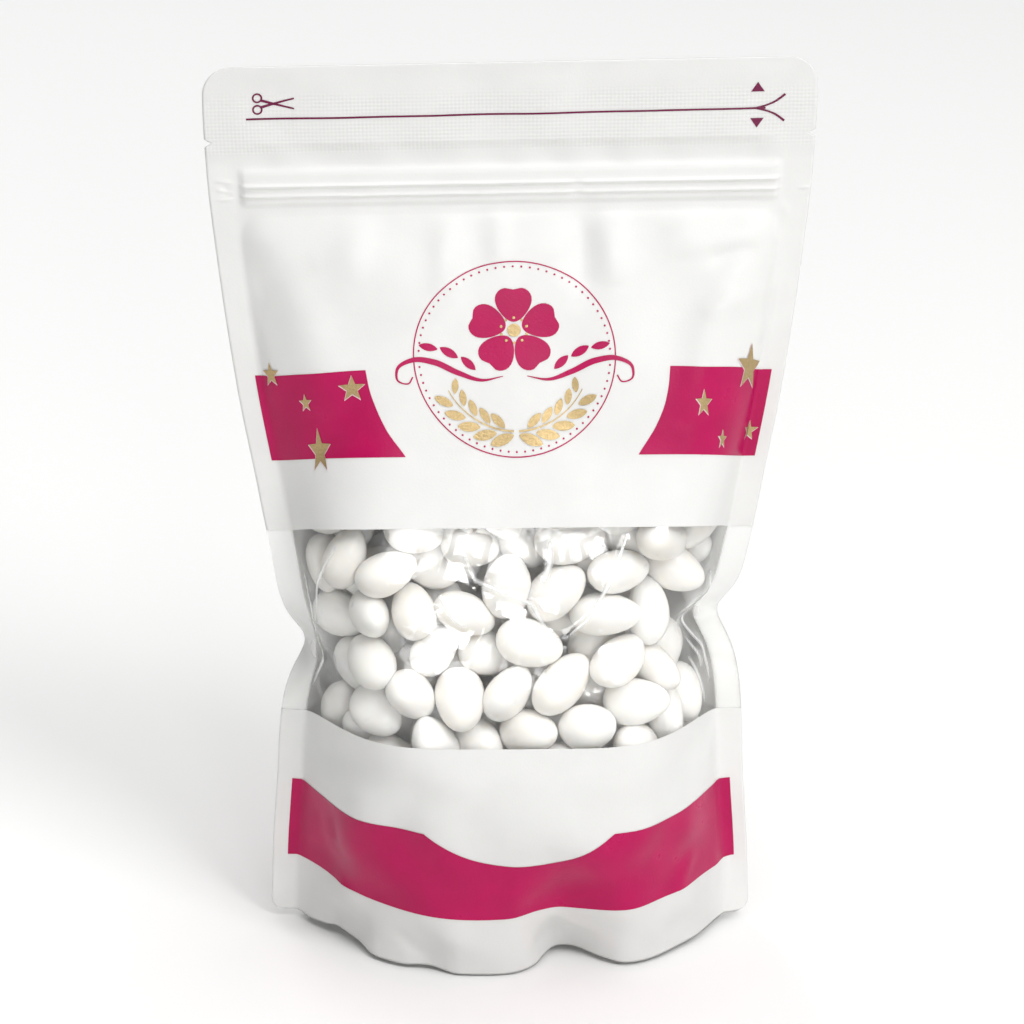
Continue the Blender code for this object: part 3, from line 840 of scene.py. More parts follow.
def window_material():
    """Clear film: mostly see-through, with a glossy face that shows most at shallow angles. It turns milky
    white by a haze attribute that also holds painted highlights and painted light.
    """
    made, nodes, links, shader = plain_material("clear_film")
    shader.inputs["Base Color"].default_value = (0.95, 0.95, 0.94, 1)
    place = nodes.new("ShaderNodeTexCoord").outputs["Object"]
    smudges = noise(nodes, links, place, 0.012, 3.0)
    links.new(math_node(nodes, links, "MULTIPLY_ADD", smudges, 0.20, 0.0), shader.inputs["Roughness"])
    ripples = noise(nodes, links, place, 0.007, 2.0)
    bump(nodes, links, shader, math_node(nodes, links, "MULTIPLY", ripples, 0.00016))
    clear = nodes.new("ShaderNodeBsdfTransparent")
    mix = nodes.new("ShaderNodeMixShader")
    fresnel = nodes.new("ShaderNodeFresnel")
    fresnel.inputs["IOR"].default_value = 1.5
    # Haze: the film's real milkiness, plus painted highlights along the creases and painted light on the
    # upper seals.
    haze_and_painted_light = nodes.new("ShaderNodeAttribute")
    haze_and_painted_light.attribute_name = "haze_and_painted_light"
    amount = math_node(nodes, links, "MULTIPLY_ADD", fresnel.outputs[0], 1.25, haze_and_painted_light.outputs["Fac"])
    milky = smooth_step(nodes, links, haze_and_painted_light.outputs["Fac"], 0.0, 0.09)
    links.new(math_node(nodes, links, "MULTIPLY_ADD", milky, -0.85, 1.0), shader.inputs["Metallic"])
    lit = math_node(nodes, links, "SUBTRACT", 1.0, nodes.new("ShaderNodeLightPath").outputs["Is Shadow Ray"])
    links.new(math_node(nodes, links, "MULTIPLY", amount, lit), mix.inputs[0])
    links.new(clear.outputs[0], mix.inputs[1])
    links.new(shader.outputs[0], mix.inputs[2])
    links.new(mix.outputs[0], nodes["Material Output"].inputs["Surface"])
    return made


# How far print stands off the film, in millimetres
PRINT_LIFT = 0.13


def flat_places(piece):
    """Vertex places of a piece that is still flat, in millimetres."""
    places = np.empty(len(piece.data.vertices) * 3)
    piece.data.vertices.foreach_get("co", places)
    return places.reshape(-1, 3)


def put_flat(piece, s, t):
    piece.data.vertices.foreach_set("co", np.column_stack([s, t, np.zeros(len(s))]).ravel())
    piece.data.update()


def edit(piece, *steps):
    """Run edit-mode steps on the whole of one piece."""
    deselect()
    piece.select_set(True)
    bpy.context.view_layer.objects.active = piece
    bpy.ops.object.mode_set(mode="EDIT")
    bpy.ops.mesh.select_all(action="SELECT")
    for step in steps:
        step()
    bpy.ops.object.mode_set(mode="OBJECT")


def lay(piece, lift=PRINT_LIFT, face=FRONT):
    """Put a flat piece onto the film."""
    places = flat_places(piece)
    s, t = places[:, 0], places[:, 1]
    put_points(piece, FILM[face].at(s, t, lift))
    put_flat_uv(piece, s, t)
    smooth(piece)
    return piece


def blade(name, outline, cuts=1):
    """A filled flat outline. outline gives (x, y) for angles round the middle, in millimetres."""
    count = len(outline)
    deselect()
    bpy.ops.mesh.primitive_circle_add(vertices=count, radius=1.0, fill_type="TRIFAN")
    made = bpy.context.object
    made.name = name
    places = flat_places(made)
    outline = np.array(outline)
    on_rim = np.hypot(places[:, 0], places[:, 1]) > 0.5
    angle = np.arctan2(places[on_rim, 1], places[on_rim, 0])
    new = np.tile(outline.mean(axis=0), (len(places), 1))
    new[np.flatnonzero(on_rim)[np.argsort(angle)]] = outline
    put_flat(made, new[:, 0], new[:, 1])
    edit(made, lambda: bpy.ops.mesh.subdivide(number_cuts=cuts))
    return made


def placed(outline, centre, turn=0.0):
    """Turn an outline by degrees and move it to a flat place."""
    angle = math.radians(turn)
    x, y = outline[:, 0], outline[:, 1]
    return np.column_stack([centre[0] + x * math.cos(angle) - y * math.sin(angle),
                            centre[1] + x * math.sin(angle) + y * math.cos(angle)])


# Radius of a star's inner corners, and the height of its top point over its middle, as shares
STAR_WAIST = 0.42
STAR_TOP = 0.905


def star_outline(half_width, half_height):
    """Five points, the first straight up."""
    angle = math.pi / 2 + np.arange(10) * math.pi / 5
    radius = np.where(np.arange(10) % 2 == 0, 1.0, STAR_WAIST)
    return np.column_stack([np.cos(angle) * radius * half_width / math.cos(math.pi / 10),
                            np.sin(angle) * radius * half_height / STAR_TOP])


def oval_outline(length, width, count=24, point=0.0, egg=0.0, notch=0.0):
    """An oval along x: point sharpens its ends, egg moves its girth to the far end, notch dents that end."""
    angle = np.arange(count) * 2 * math.pi / count
    x = length / 2 * np.cos(angle)
    y = width / 2 * np.sin(angle) * np.abs(np.sin(angle)) ** point * (1 + egg * np.cos(angle))
    away = np.minimum(angle, 2 * math.pi - angle)
    x -= notch * length * np.exp(-(away / 0.3) ** 2)
    return np.column_stack([x, y])


def line(name, path, widths):
    """A flat line of given widths along a path of flat places."""
    path = np.array(path, float)
    widths = np.broadcast_to(widths, len(path))
    along = np.gradient(path, axis=0)
    along /= np.linalg.norm(along, axis=1, keepdims=True)
    side = np.column_stack([-along[:, 1], along[:, 0]]) * widths[:, None] / 2
    made = grid(name, len(path) - 1, 1)
    both = np.concatenate([path - side, path + side])
    put_flat(made, both[:, 0], both[:, 1])
    return made


def ring(name, centre, radius, width, count=160):
    """A closed thin ring on the flat film."""
    angle = np.linspace(0, 2 * math.pi, count + 1)
    path = np.column_stack([centre[0] - radius * np.cos(angle), centre[1] + radius * np.sin(angle)])
    return line(name, path, width)


def curve_path(points, count):
    """Even places along a smooth curve through a few flat places."""
    points = np.array(points, float)
    legs = np.concatenate([[0], np.cumsum(np.hypot(*np.diff(points, axis=0).T))])
    at = np.linspace(0, legs[-1], count)
    return np.column_stack([cubic_between(legs, line_of, np.gradient(line_of, legs), at)
                            for line_of in points.T])


# Printed bands: flat heights of their edges, and their ends across the film
UPPER_BAND = (167.0, 196.8)
UPPER_BAND_ENDS = (-88.7, 90.9)
UPPER_LEFT_EDGE = [(167.0, -37.0), (175.7, -43.0), (182.8, -46.0), (190.7, -48.2), (196.8, -49.0)]
UPPER_RIGHT_EDGE = [(167.0, 42.0), (177.2, 48.4), (185.2, 51.3), (191.6, 52.3), (196.8, 52.6)]
LOWER_BAND = (20.4, 48.6)
LOWER_BAND_ENDS = (-90.0, 90.6)
LOWER_DIP = {"middle": 3.0, "half": 30.5, "depth": 9.6}


def band_columns(start, end, step=1.35):
    """Columns between two ends, gathered where a seal meets the body."""
    seams = [place for place in (-HALF_FILM, HALF_FILM) if start < place < end]
    stops = [start, *seams, end]
    return rows_through(*[(a, b, step) for a, b in zip(stops, stops[1:])])


def side_band(name, outer, inner_edge):
    """Half of the upper band, from near a side edge to its curved inner edge."""
    rows = spaced(*UPPER_BAND, 1.2)
    inner = smooth_through(inner_edge, rows)
    knee = outer + (inner[0] - outer) * 0.55
    fixed = band_columns(min(outer, knee), max(outer, knee))
    share = spaced(0, 1, 0.06)
    if outer > 0:
        fixed = fixed[::-1]
    across = np.concatenate([np.broadcast_to(fixed[:-1], (len(rows), len(fixed) - 1)),
                             knee + (inner[:, None] - knee) * share[None, :]], axis=1)
    if outer > 0:
        across = across[:, ::-1]
    made = grid(name, across.shape[1] - 1, len(rows) - 1)
    put_flat(made, across.ravel(), np.repeat(rows, across.shape[1]))
    return made


def base_band(name):
    """The lower band, whose top edge dips in an arc at the middle."""
    columns = band_columns(*LOWER_BAND_ENDS)
    columns = np.unique(np.concatenate([columns, [LOWER_DIP["middle"] - LOWER_DIP["half"],
                                                  LOWER_DIP["middle"] + LOWER_DIP["half"]]]))
    half, depth = LOWER_DIP["half"], LOWER_DIP["depth"]
    radius = (half ** 2 + depth ** 2) / (2 * depth)
    away = np.clip(np.abs(columns - LOWER_DIP["middle"]), 0, half)
    top = LOWER_BAND[1] - np.clip(np.sqrt(radius ** 2 - away ** 2) - (radius - depth), 0, None)
    share = spaced(0, 1, 0.045)
    heights = LOWER_BAND[0] + (top[None, :] - LOWER_BAND[0]) * share[:, None]
    made = grid(name, len(columns) - 1, len(share) - 1)
    put_flat(made, np.tile(columns, len(share)), heights.ravel())
    return made


def flip(piece):
    edit(piece, bpy.ops.mesh.flip_normals)
    return piece


def plain_band(name, bottom, top):
    """A straight band across the back."""
    columns = band_columns(-HALF_FLAT + 4.5, HALF_FLAT - 4.5)
    rows = spaced(bottom, top, 1.6)
    made = grid(name, len(columns) - 1, len(rows) - 1)
    put_flat(made, np.tile(columns, len(rows)), np.repeat(rows, len(columns)))
    return flip(made)


class POUCH_OT_film(bpy.types.Operator):
    """Make the printed film: front above and below the window, back, side seals and base"""
    bl_idname = "pouch.film"
    bl_label = "Printed Film"

    # Base gusset: height over the base edge at each share of the way from the front to the back film
    GUSSET_RISE = [0, 2.4, 1.2, 0.3, 0, 0.2, 1.6, 0.2, 0, 0.3, 1.2, 2.4, 0]
    GUSSET_SHARES = [0, 0.015, 0.06, 0.14, 0.25, 0.4, 0.5, 0.6, 0.75, 0.86, 0.94, 0.985, 1]

    def execute(self, context):
        settings = context.scene.pouch
        front = [FRONT] * len(COLUMNS)
        back = [BACK] * len(COLUMNS)
        around = np.concatenate([COLUMNS, COLUMNS[::-1], COLUMNS[:1]])
        lower = film_sheet("lower", front + back + [FRONT], around, LOWER_ROWS)
        upper = film_sheet("upper", front + back + [FRONT], around, UPPER_ROWS)
        behind = film_sheet("behind", [FRONT] + back + [FRONT],
                            np.concatenate([COLUMNS[-1:], COLUMNS[::-1], COLUMNS[:1]]), WINDOW_ROWS)
        top = bridge_sheet("top", COLUMNS, FLAT_HEIGHT, [0, 0], [0, 1])
        base = flip(bridge_sheet("base", COLUMNS, 0, self.GUSSET_RISE, self.GUSSET_SHARES))
        film = join([lower, upper, behind, top, base], "printed_film")
        wear(film, film_material(settings.film_colour))
        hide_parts("pouch")
        return {"FINISHED"}


class POUCH_OT_window(bpy.types.Operator):
    """Make the clear film across the front"""
    bl_idname = "pouch.window"
    bl_label = "Window Film"

    # How far the clear film runs on under the print, how far it lies under it, and its least haze
    TUCK = 2.5
    BEHIND = -0.04
    LEAST_HAZE = 0.05

    def execute(self, context):
        columns = np.unique(np.concatenate([COLUMNS, (COLUMNS[1:] + COLUMNS[:-1]) / 2]))
        rows = spaced(WINDOW_BOTTOM - self.TUCK, WINDOW_TOP + self.TUCK, 0.6)
        window = film_sheet("window_film", [FRONT] * len(columns), columns, rows, self.BEHIND)
        s, t = np.meshgrid(columns, bowed(0.0, rows))
        # The seals are milky, and milkier towards the top: painted light that brightens their upper part.
        painted_glints_and_haze = np.maximum(ramp(np.abs(s), HALF_FILM - 1.0, HALF_FILM + 0.4)
                              * (0.35 + 0.35 * ramp(t, 104, 124)), self.LEAST_HAZE)
        # Whitened creases: painted highlights standing in for glints along them, partly real stress
        # whitening.
        for path, _, width in WINDOW_CREASES:
            painted_glints_and_haze = np.maximum(painted_glints_and_haze, 0.9 * fold(s, t, path, width * 0.62))
        haze_and_painted_light = window.data.attributes.new("haze_and_painted_light", "FLOAT", "POINT")
        haze_and_painted_light.data.foreach_set("value", painted_glints_and_haze.ravel())
        wear(window, window_material())
        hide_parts("pouch")
        return {"FINISHED"}


class POUCH_OT_bands(bpy.types.Operator):
    """Print the bands above and below the window and round the back"""
    bl_idname = "pouch.bands"
    bl_label = "Printed Bands"

    def execute(self, context):
        settings = context.scene.pouch
        ink = ink_material("band_ink", settings.ink_colour)
        pieces = {
            "upper_band_left": lay(side_band("left", UPPER_BAND_ENDS[0], UPPER_LEFT_EDGE)),
            "upper_band_right": lay(side_band("right", UPPER_BAND_ENDS[1], UPPER_RIGHT_EDGE)),
            "lower_band": lay(base_band("lower_front_band")),
            "back_bands": join([lay(plain_band("back_upper", *UPPER_BAND), face=BACK),
                                lay(plain_band("back_lower", *LOWER_BAND), face=BACK)], "back_bands"),
        }
        for name, piece in pieces.items():
            name_piece(piece, name)
            wear(piece, ink)
        return {"FINISHED"}


class POUCH_OT_stars(bpy.types.Operator):
    """Print the gold stars, each over a pale star that shows at one edge"""
    bl_idname = "pouch.stars"
    bl_label = "Gold Stars"

    # Flat place, half width and half height in millimetres
    STARS = [(-82.0, 197.4, 3.2, 3.9), (-70.1, 186.7, 2.1, 2.8), (-53.7, 190.7, 4.2, 4.1),
             (-67.1, 169.6, 4.2, 7.2), (80.2, 197.2, 5.3, 7.4), (63.7, 184.4, 2.4, 4.3),
             (70.7, 172.4, 1.5, 2.9), (87.0, 175.9, 3.0, 3.2)]
    STAR_LIFT = 2.4
    EDGE_LIFT = 1.7
    EDGE = 0.28
    EDGE_SHIFT = (-0.12, -0.22)
    EDGE_COLOUR = (0.86, 0.66, 0.70)

    def execute(self, context):
        settings = context.scene.pouch
        gold = []
        pale = []
        for s, t, half_width, half_height in self.STARS:
            shape = star_outline(half_width, half_height)
            gold.append(lay(blade("star", placed(shape, (s, t)), 2), PRINT_LIFT * self.STAR_LIFT))
            under = star_outline(half_width + self.EDGE, half_height + self.EDGE)
            place = (s + self.EDGE_SHIFT[0], t + self.EDGE_SHIFT[1])
            pale.append(lay(blade("edge", placed(under, place), 2), PRINT_LIFT * self.EDGE_LIFT))
        stars = join(gold, "gold_stars", merge=0)
        wear(stars, gold_material("star_gold", settings.gold_colour))
        edges = join(pale, "star_edges", merge=0)
        wear(edges, film_surface("pale_edge", self.EDGE_COLOUR, 0.92, 0.4)[0])
        return {"FINISHED"}


class POUCH_OT_opening_marks(bpy.types.Operator):
    """Print the cut line with its fork, the scissors and the two small arrows"""
    bl_idname = "pouch.opening_marks"
    bl_label = "Opening Marks"

    LINE_HEIGHT = 283.4
    LINE = (-81.6, 79.0)
    WIDTH = 0.62
    INK = (0.17, 0.012, 0.06)
    # Rise of the line's right end over its middle, the arrows' place across and distances from the line
    END_RISE = 0.3
    ARROW_S = 76.5
    ARROW_AWAY = {1: 6.6, -1: 4.4}
    # Scissors: place across, and distance over the line
    SCISSORS = (-73.0, 4.6)

    def execute(self, context):
        start, end = self.LINE
        t = self.LINE_HEIGHT
        straight = [(s, t + 0.004 * s) for s in spaced(start, end, 2.0)]
        marks = [line("cut_line", straight, self.WIDTH)]
        for side in (1, -1):
            fork = curve_path([(end + along, t + self.END_RISE + side * away)
                               for along, away in ((-3.5, 0), (0, 0.8), (3.2, 2.2), (6, 4.3))], 14)
            marks.append(line("fork", fork, np.linspace(0.45, 0.75, 14)))
            tip = (self.ARROW_S, t + self.END_RISE + side * self.ARROW_AWAY[side])
            arrow = np.array([(-2.1, -1.2), (2.1, -1.2), (0, 1.9)]) * (1, side)
            rounded = np.concatenate([arrow[i] + (arrow[(i + 1) % 3] - arrow[i]) * share
                                      for i in range(3) for share in [np.linspace(0, 0.9, 5)[:, None]]])
            marks.append(blade("arrow", placed(rounded if side > 0 else rounded[::-1], tip)))
        marks += self.scissors((self.SCISSORS[0], t + self.SCISSORS[1]))
        for mark in marks:
            lay(mark)
        made = join(marks, "opening_marks", merge=0)
        wear(made, ink_material("mark_ink", self.INK))
        return {"FINISHED"}

    def scissors(self, centre):
        """Two crossed blades with a ring handle each, pointing along the cut line."""
        made = []
        for side in (1, -1):
            handle = placed(np.array([(-5.0, side * 1.9)]), centre)[0]
            made.append(ring("handle", handle, 1.35, 0.55, 28))
            path = placed(np.array([(-3.9, side * 1.15), (0.0, 0.0), (6.4, -side * 1.7)]), centre)
            made.append(line("blade", curve_path(path, 12), np.linspace(0.5, 0.85, 12)[::-1]))
        return made


class POUCH_OT_emblem(bpy.types.Operator):
    """Print the round emblem: a thin ring, an almond blossom, two curls and gold laurel"""
    bl_idname = "pouch.emblem"
    bl_label = "Emblem"

    CENTRE = (0.7, 200.2)
    RADIUS = 33.6
    BEADS = 72
    BEADS_IN = 1.7
    BLOSSOM_UP = 9.6
    PETALS_OUT = 9.2
    STAMENS_OUT = 4.4
    CURLS_UP = 2.2
    LAUREL_RADIUS = 25

    def at(self, x, y):
        return self.CENTRE[0] + x, self.CENTRE[1] + y

    def execute(self, context):
        settings = context.scene.pouch
        pieces = {
            "emblem_ring": (self.rings(), ink_material("ring_ink", settings.ink_colour)),
            "blossom": (self.blossom() + self.curls(), ink_material("blossom_ink", settings.ink_colour)),
            "laurel": (self.laurel() + self.stamens(), gold_material("leaf_gold", settings.gold_colour)),
        }
        for name, (parts, material) in pieces.items():
            lift = PRINT_LIFT * (2 if name == "laurel" else 1)
            made = join([lay(part, lift) for part in parts], name, merge=0)
            wear(made, material)
        return {"FINISHED"}

    def rings(self):
        made = [ring("outer", self.at(0, 0), self.RADIUS, 0.42)]
        out = self.RADIUS - self.BEADS_IN
        for i in range(self.BEADS):
            angle = 2 * math.pi * i / self.BEADS
            place = self.at(math.cos(angle) * out, math.sin(angle) * out)
            made.append(blade("bead", placed(oval_outline(0.75, 0.75, 8), place), 0))
        return made

    def blossom(self):
        made = []
        for i in range(5):
            turn = 90 + 72 * i
            angle = math.radians(turn)
            shape = oval_outline(12.6, 11.6, 32, egg=0.30, notch=0.10)
            place = self.at(math.cos(angle) * self.PETALS_OUT,
                            self.BLOSSOM_UP + math.sin(angle) * self.PETALS_OUT)
            made.append(blade("petal", placed(shape, place, turn)))
        return made

    def stamens(self):
        made = [blade("heart", placed(oval_outline(4.6, 4.6, 20), self.at(0, self.BLOSSOM_UP)))]
        for i in range(10):
            angle = 2 * math.pi * (i + 0.5) / 10
            place = self.at(math.cos(angle) * self.STAMENS_OUT,
                            self.BLOSSOM_UP + math.sin(angle) * self.STAMENS_OUT)
            made.append(blade("stamen", placed(oval_outline(1.0, 1.0, 8), place), 0))
        return made

    def curls(self):
        """A long tapering curl out to each side, past the ring."""
        made = []
        for side in (-1, 1):
            path = [(side * x, y) for x, y in ((4, -8.5), (11, -9.8), (19, -7.2), (27, -3.4), (34, -2.6),
                                               (39.2, -5.6), (39.2, -9.6), (35.6, -10.6), (34.2, -8.4))]
            places = curve_path([self.at(x, y + self.CURLS_UP) for x, y in path], 70)
            share = np.linspace(0, 1, 70)
            widths = 0.25 + 1.7 * np.sin(math.pi * np.clip(share * 1.1, 0, 1)) ** 1.3 + 0.25 * share
            curl = line("curl", places, widths)
            made.append(flip(curl) if side < 0 else curl)
            for x, y, turn, size in ((15.5, -4.0, 44, 6.6), (21.8, -0.2, 32, 7.0), (28.6, 1.8, 14, 6.4)):
                shape = oval_outline(size, size * 0.42, 20, point=0.7)
                place = self.at(side * x, y + self.CURLS_UP)
                leaf = placed(shape, place, turn if side > 0 else 180 - turn)
                made.append(blade("leaf", leaf))
        return made

    def laurel(self):
        """Two branches of almond-shaped leaves that rise from the bottom of the emblem."""
        made = []
        for side in (-1, 1):
            angles = np.linspace(math.radians(-88), math.radians(-26), 30)
            stem = [self.at(side * math.cos(a) * self.LAUREL_RADIUS, math.sin(a) * self.LAUREL_RADIUS)
                    for a in angles]
            branch = line("stem", stem, np.linspace(0.7, 0.3, 30))
            made.append(flip(branch) if side < 0 else branch)
            for i in range(5):
                for out, lean, length in ((1, -32, 8.6), (-1, 30, 6.6)):
                    a = math.radians(-77 + 12.2 * i - 3 * out)
                    radius = self.LAUREL_RADIUS + out * (3.3 if out > 0 else 2.7)
                    size = length * (1 - 0.05 * i)
                    turn = math.degrees(a) + 90 + lean
                    shape = oval_outline(size, size * 0.43, 20, point=0.45)
                    place = self.at(side * math.cos(a) * radius, math.sin(a) * radius)
                    leaf = placed(shape, place, turn if side > 0 else 180 - turn)
                    made.append(blade("laurel_leaf", leaf))
        return made


class POUCH_OT_almonds(bpy.types.Operator):
    """Make the heap of almonds behind the window"""
    bl_idname = "pouch.almonds"
    bl_label = "Sugared Almonds"

    def execute(self, context):
        settings = context.scene.pouch
        size = np.array([settings.almond_length, settings.almond_width, settings.almond_thickness]) / MM
        heap = Heap(size, settings.seed)
        heap.settle()
        almonds = heap.meshes("sugared_almonds")
        wear(almonds, sugar_material(settings.sugar_colour))
        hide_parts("almonds")
        return {"FINISHED"}


class Heap:
    """Almonds packed behind the film by pushing overlapping ones apart until they only touch."""

    # First places: flat heights, and the step from row to row, along a row and from layer to layer
    LAYERS = 3
    BOTTOM = 52.0
    TOP = 172.0
    ROW_STEP = 12.2
    IN_A_ROW = 9
    COLUMN_STEP = 17.6
    FIRST_DEPTH = 7.0
    LAYER_STEP = 10.5
    # Settling: share of an overlap that is undone in a step, and pulls to the front and down that fade out
    STEPS = 420
    NEAR = 22
    PUSH = 0.42
    PULL_FORWARD = 0.10
    PULL_DOWN = 0.05
    LONGEST_MOVE = 1.5
    CLEAR_OF_FILM = 0.3
    FLOOR = 48.0
    # Faces round and along an almond: in the layer behind the film, in the deeper ones, and to fit it
    SIDES = ((22, 14), (14, 9))
    FIT_SIDES = (10, 7)
    # Rows and columns of the film's table among which an almond's nearest place is looked for
    SEARCH_ROWS = slice(50, 440, 6)
    SEARCH_COLUMNS = slice(16, 366, 6)

    def __init__(self, size, seed):
        self.rng = np.random.default_rng(seed)
        rng = self.rng
        places = []
        layers = []
        for layer in range(self.LAYERS):
            rows = int((self.TOP - self.BOTTOM) / self.ROW_STEP)
            for row in range(rows):
                t = self.BOTTOM + (row + 0.5 + 0.3 * (layer % 2)) * self.ROW_STEP
                for i in range(self.IN_A_ROW):
                    middle = self.IN_A_ROW // 2
                    s = (i - middle + (0.25 if (row + layer) % 2 else -0.25)) * self.COLUMN_STEP
                    places.append((s + rng.uniform(-3, 3), t + rng.uniform(-2, 2)))
                    layers.append(layer)
        places = np.array(places)
        self.layer = np.array(layers)
        self.count = len(places)
        scale = 1 + rng.normal(0, 0.055, (self.count, 3))
        self.half = size / 2 * np.clip(scale, 0.87, 1.14)
        film = FILM[FRONT]
        normal = film.read(film.normals, places[:, 0], places[:, 1])
        self.place = (film.at(places[:, 0], places[:, 1])
                      - normal * (self.FIRST_DEPTH + self.LAYER_STEP * self.layer)[:, None])
        self.turn = self.first_turns(normal)
        self.draw_shapes()
        rows, columns = self.SEARCH_ROWS, self.SEARCH_COLUMNS
        s, t = np.meshgrid(film.s[columns], film.t[rows])
        self.search = {face: (FILM[face].points[rows, columns].reshape(-1, 3), s.ravel(), t.ravel())
                       for face in (FRONT, BACK)}

    def first_turns(self, normal):
        """Long axis mostly along the film at a random angle, and broad side mostly towards it."""
        rng = self.rng
        turns = np.zeros((self.count, 3, 3))
        for i in range(self.count):
            tilt = rng.normal(0, 0.42, 3)
            flat = Vector(normal[i] + tilt).normalized()
            across = Vector((1, 0, 0)).cross(flat)
            angle = rng.vonmises(0, 1.6) / 2 + (math.pi / 2 if rng.random() < 0.2 else 0)
            along = Matrix.Rotation(angle + math.pi / 2, 3, flat) @ across.normalized()
            side = flat.cross(along)
            turns[i] = np.array([along, side, flat]).T
        return turns

    def reach(self, direction, turn, half):
        """How far each almond reaches in a direction, between its support and its own radius there."""
        local = np.einsum("nji,nj->ni", turn, direction)
        support = np.sqrt(((local * half) ** 2).sum(axis=1))
        radius = 1 / np.sqrt(((local / half) ** 2).sum(axis=1))
        return 0.5 * support + 0.5 * radius, support

    def settle(self):
        first, second = np.triu_indices(self.count, 1)
        for step in range(self.STEPS):
            apart = self.place[second] - self.place[first]
            distance = np.linalg.norm(apart, axis=1)
            near = distance < self.NEAR
            a, b = first[near], second[near]
            direction = apart[near] / distance[near, None]
            reach_a, _ = self.reach(direction, self.turn[a], self.half[a])
            reach_b, _ = self.reach(direction, self.turn[b], self.half[b])
            overlap = np.clip(reach_a + reach_b - distance[near], 0, None)
            push = direction * (self.PUSH * overlap)[:, None]
            move = np.zeros_like(self.place)
            np.add.at(move, a, -push)
            np.add.at(move, b, push)
            left = 1 - step / self.STEPS
            move[:, 1] -= self.PULL_FORWARD * left
            move[:, 2] -= self.PULL_DOWN * left
            self.place += np.clip(move, -self.LONGEST_MOVE, self.LONGEST_MOVE)
            self.keep_inside()

    def keep_inside(self):
        """Push each almond back where it would come through the film or leave the heap."""
        for face in (BACK, FRONT):
            film = FILM[face]
            for s, t in self.near_flats(face):
                normal = film.read(film.normals, s, t)
                support = self.reach(normal, self.turn, self.half)[1]
                inside = ((film.at(s, t) - self.place) * normal).sum(axis=1)
                short = np.clip(support + self.CLEAR_OF_FILM - inside, 0, None)
                self.place -= normal * short[:, None]
        self.place[:, 2] += np.clip(self.FLOOR - self.place[:, 2], 0, None)

    def near_flats(self, face):
        """Flat places of the film nearest to each almond, and a little to each side of them."""
        points, s, t = self.search[face]
        away = ((self.place[:, None, :] - points[None, :, :]) ** 2).sum(axis=2)
        best = away.argmin(axis=1)
        s, t = s[best], t[best]
        for ds, dt in ((0, 0), (-5, 0), (5, 0), (0, -5), (0, 5)):
            yield np.clip(s + ds, -HALF_FILM, HALF_FILM), t + dt

    def proud(self, face, surface):
        """How far an almond's surface stands through one face of the film, and the film's normal there."""
        film = FILM[face]
        points, s, t = self.search[face]
        away = ((surface[:, None, :] - points[None, :, :]) ** 2).sum(axis=2)
        best = away.argmin(axis=1)
        normal = film.read(film.normals, s[best], t[best])
        through = ((surface - points[best]) * normal).sum(axis=1)
        worst = through.argmax()
        return through[worst], normal[worst]

    def fit_behind_film(self, base):
        """Push each shaped almond clear of both faces, and leave out the few that will not go."""
        keep = np.ones(self.count, bool)
        for i in range(self.count):
            for _ in range(6):
                moved = False
                for face in (BACK, FRONT):
                    through, normal = self.proud(face, self.almond_points(base, i))
                    if through > -self.CLEAR_OF_FILM / 2:
                        self.place[i] -= normal * (through + self.CLEAR_OF_FILM)
                        moved = True
                if not moved:
                    break
            surface = self.almond_points(base, i)
            keep[i] = max(self.proud(FRONT, surface)[0], self.proud(BACK, surface)[0]) < 0
        self.numbers = np.flatnonzero(keep)

    def master(self, segments, rings):
        """A sphere whose poles are its ends along x, and the places of its vertices."""
        deselect()
        bpy.ops.mesh.primitive_uv_sphere_add(segments=segments, ring_count=rings, radius=1.0)
        made = bpy.context.object
        return made, flat_places(made)[:, [2, 0, 1]]

    def meshes(self, name):
        """One joined mesh of all the almonds, each a shaped copy of one sphere."""
        rough, places = self.master(*self.FIT_SIDES)
        bpy.data.objects.remove(rough)
        self.fit_behind_film(places)
        masters = [self.master(*sides) for sides in self.SIDES]
        copies = []
        for i in self.numbers:
            master, places = masters[min(self.layer[i], 1)]
            copy = master.copy()
            copy.data = master.data.copy()
            bpy.context.collection.objects.link(copy)
            put_points(copy, self.almond_points(places, i))
            shade = copy.data.attributes.new("shade", "FLOAT", "POINT")
            shade.data.foreach_set("value", np.full(len(places), self.shape[i]["shade"]))
            smooth(copy)
            copies.append(copy)
        for master, _ in masters:
            bpy.data.objects.remove(master)
        return join(copies, name, merge=0)

    def draw_shapes(self):
        """Each almond's own taper, bend, lumps and tone."""
        rng = self.rng
        self.shape = [{"taper": rng.uniform(0.06, 0.19), "bend": rng.uniform(-0.07, 0.07),
                       "ways": rng.normal(size=(5, 3)), "phases": rng.uniform(0, 6.28, 5),
                       "shade": rng.uniform(0, 1)} for _ in range(self.count)]

    def almond_points(self, base, i):
        shape = self.shape[i]
        x, y, z = base.T
        girth = 1 - shape["taper"] * x
        lumps = np.cos(base @ shape["ways"].T * 2.2 + shape["phases"]).sum(axis=1)
        shaped = np.stack([x, y * girth + shape["bend"] * (x * x - 0.4), z * girth], axis=1)
        shaped *= (1 + 0.008 * lumps)[:, None]
        return (shaped * self.half[i]) @ self.turn[i].T + self.place[i]


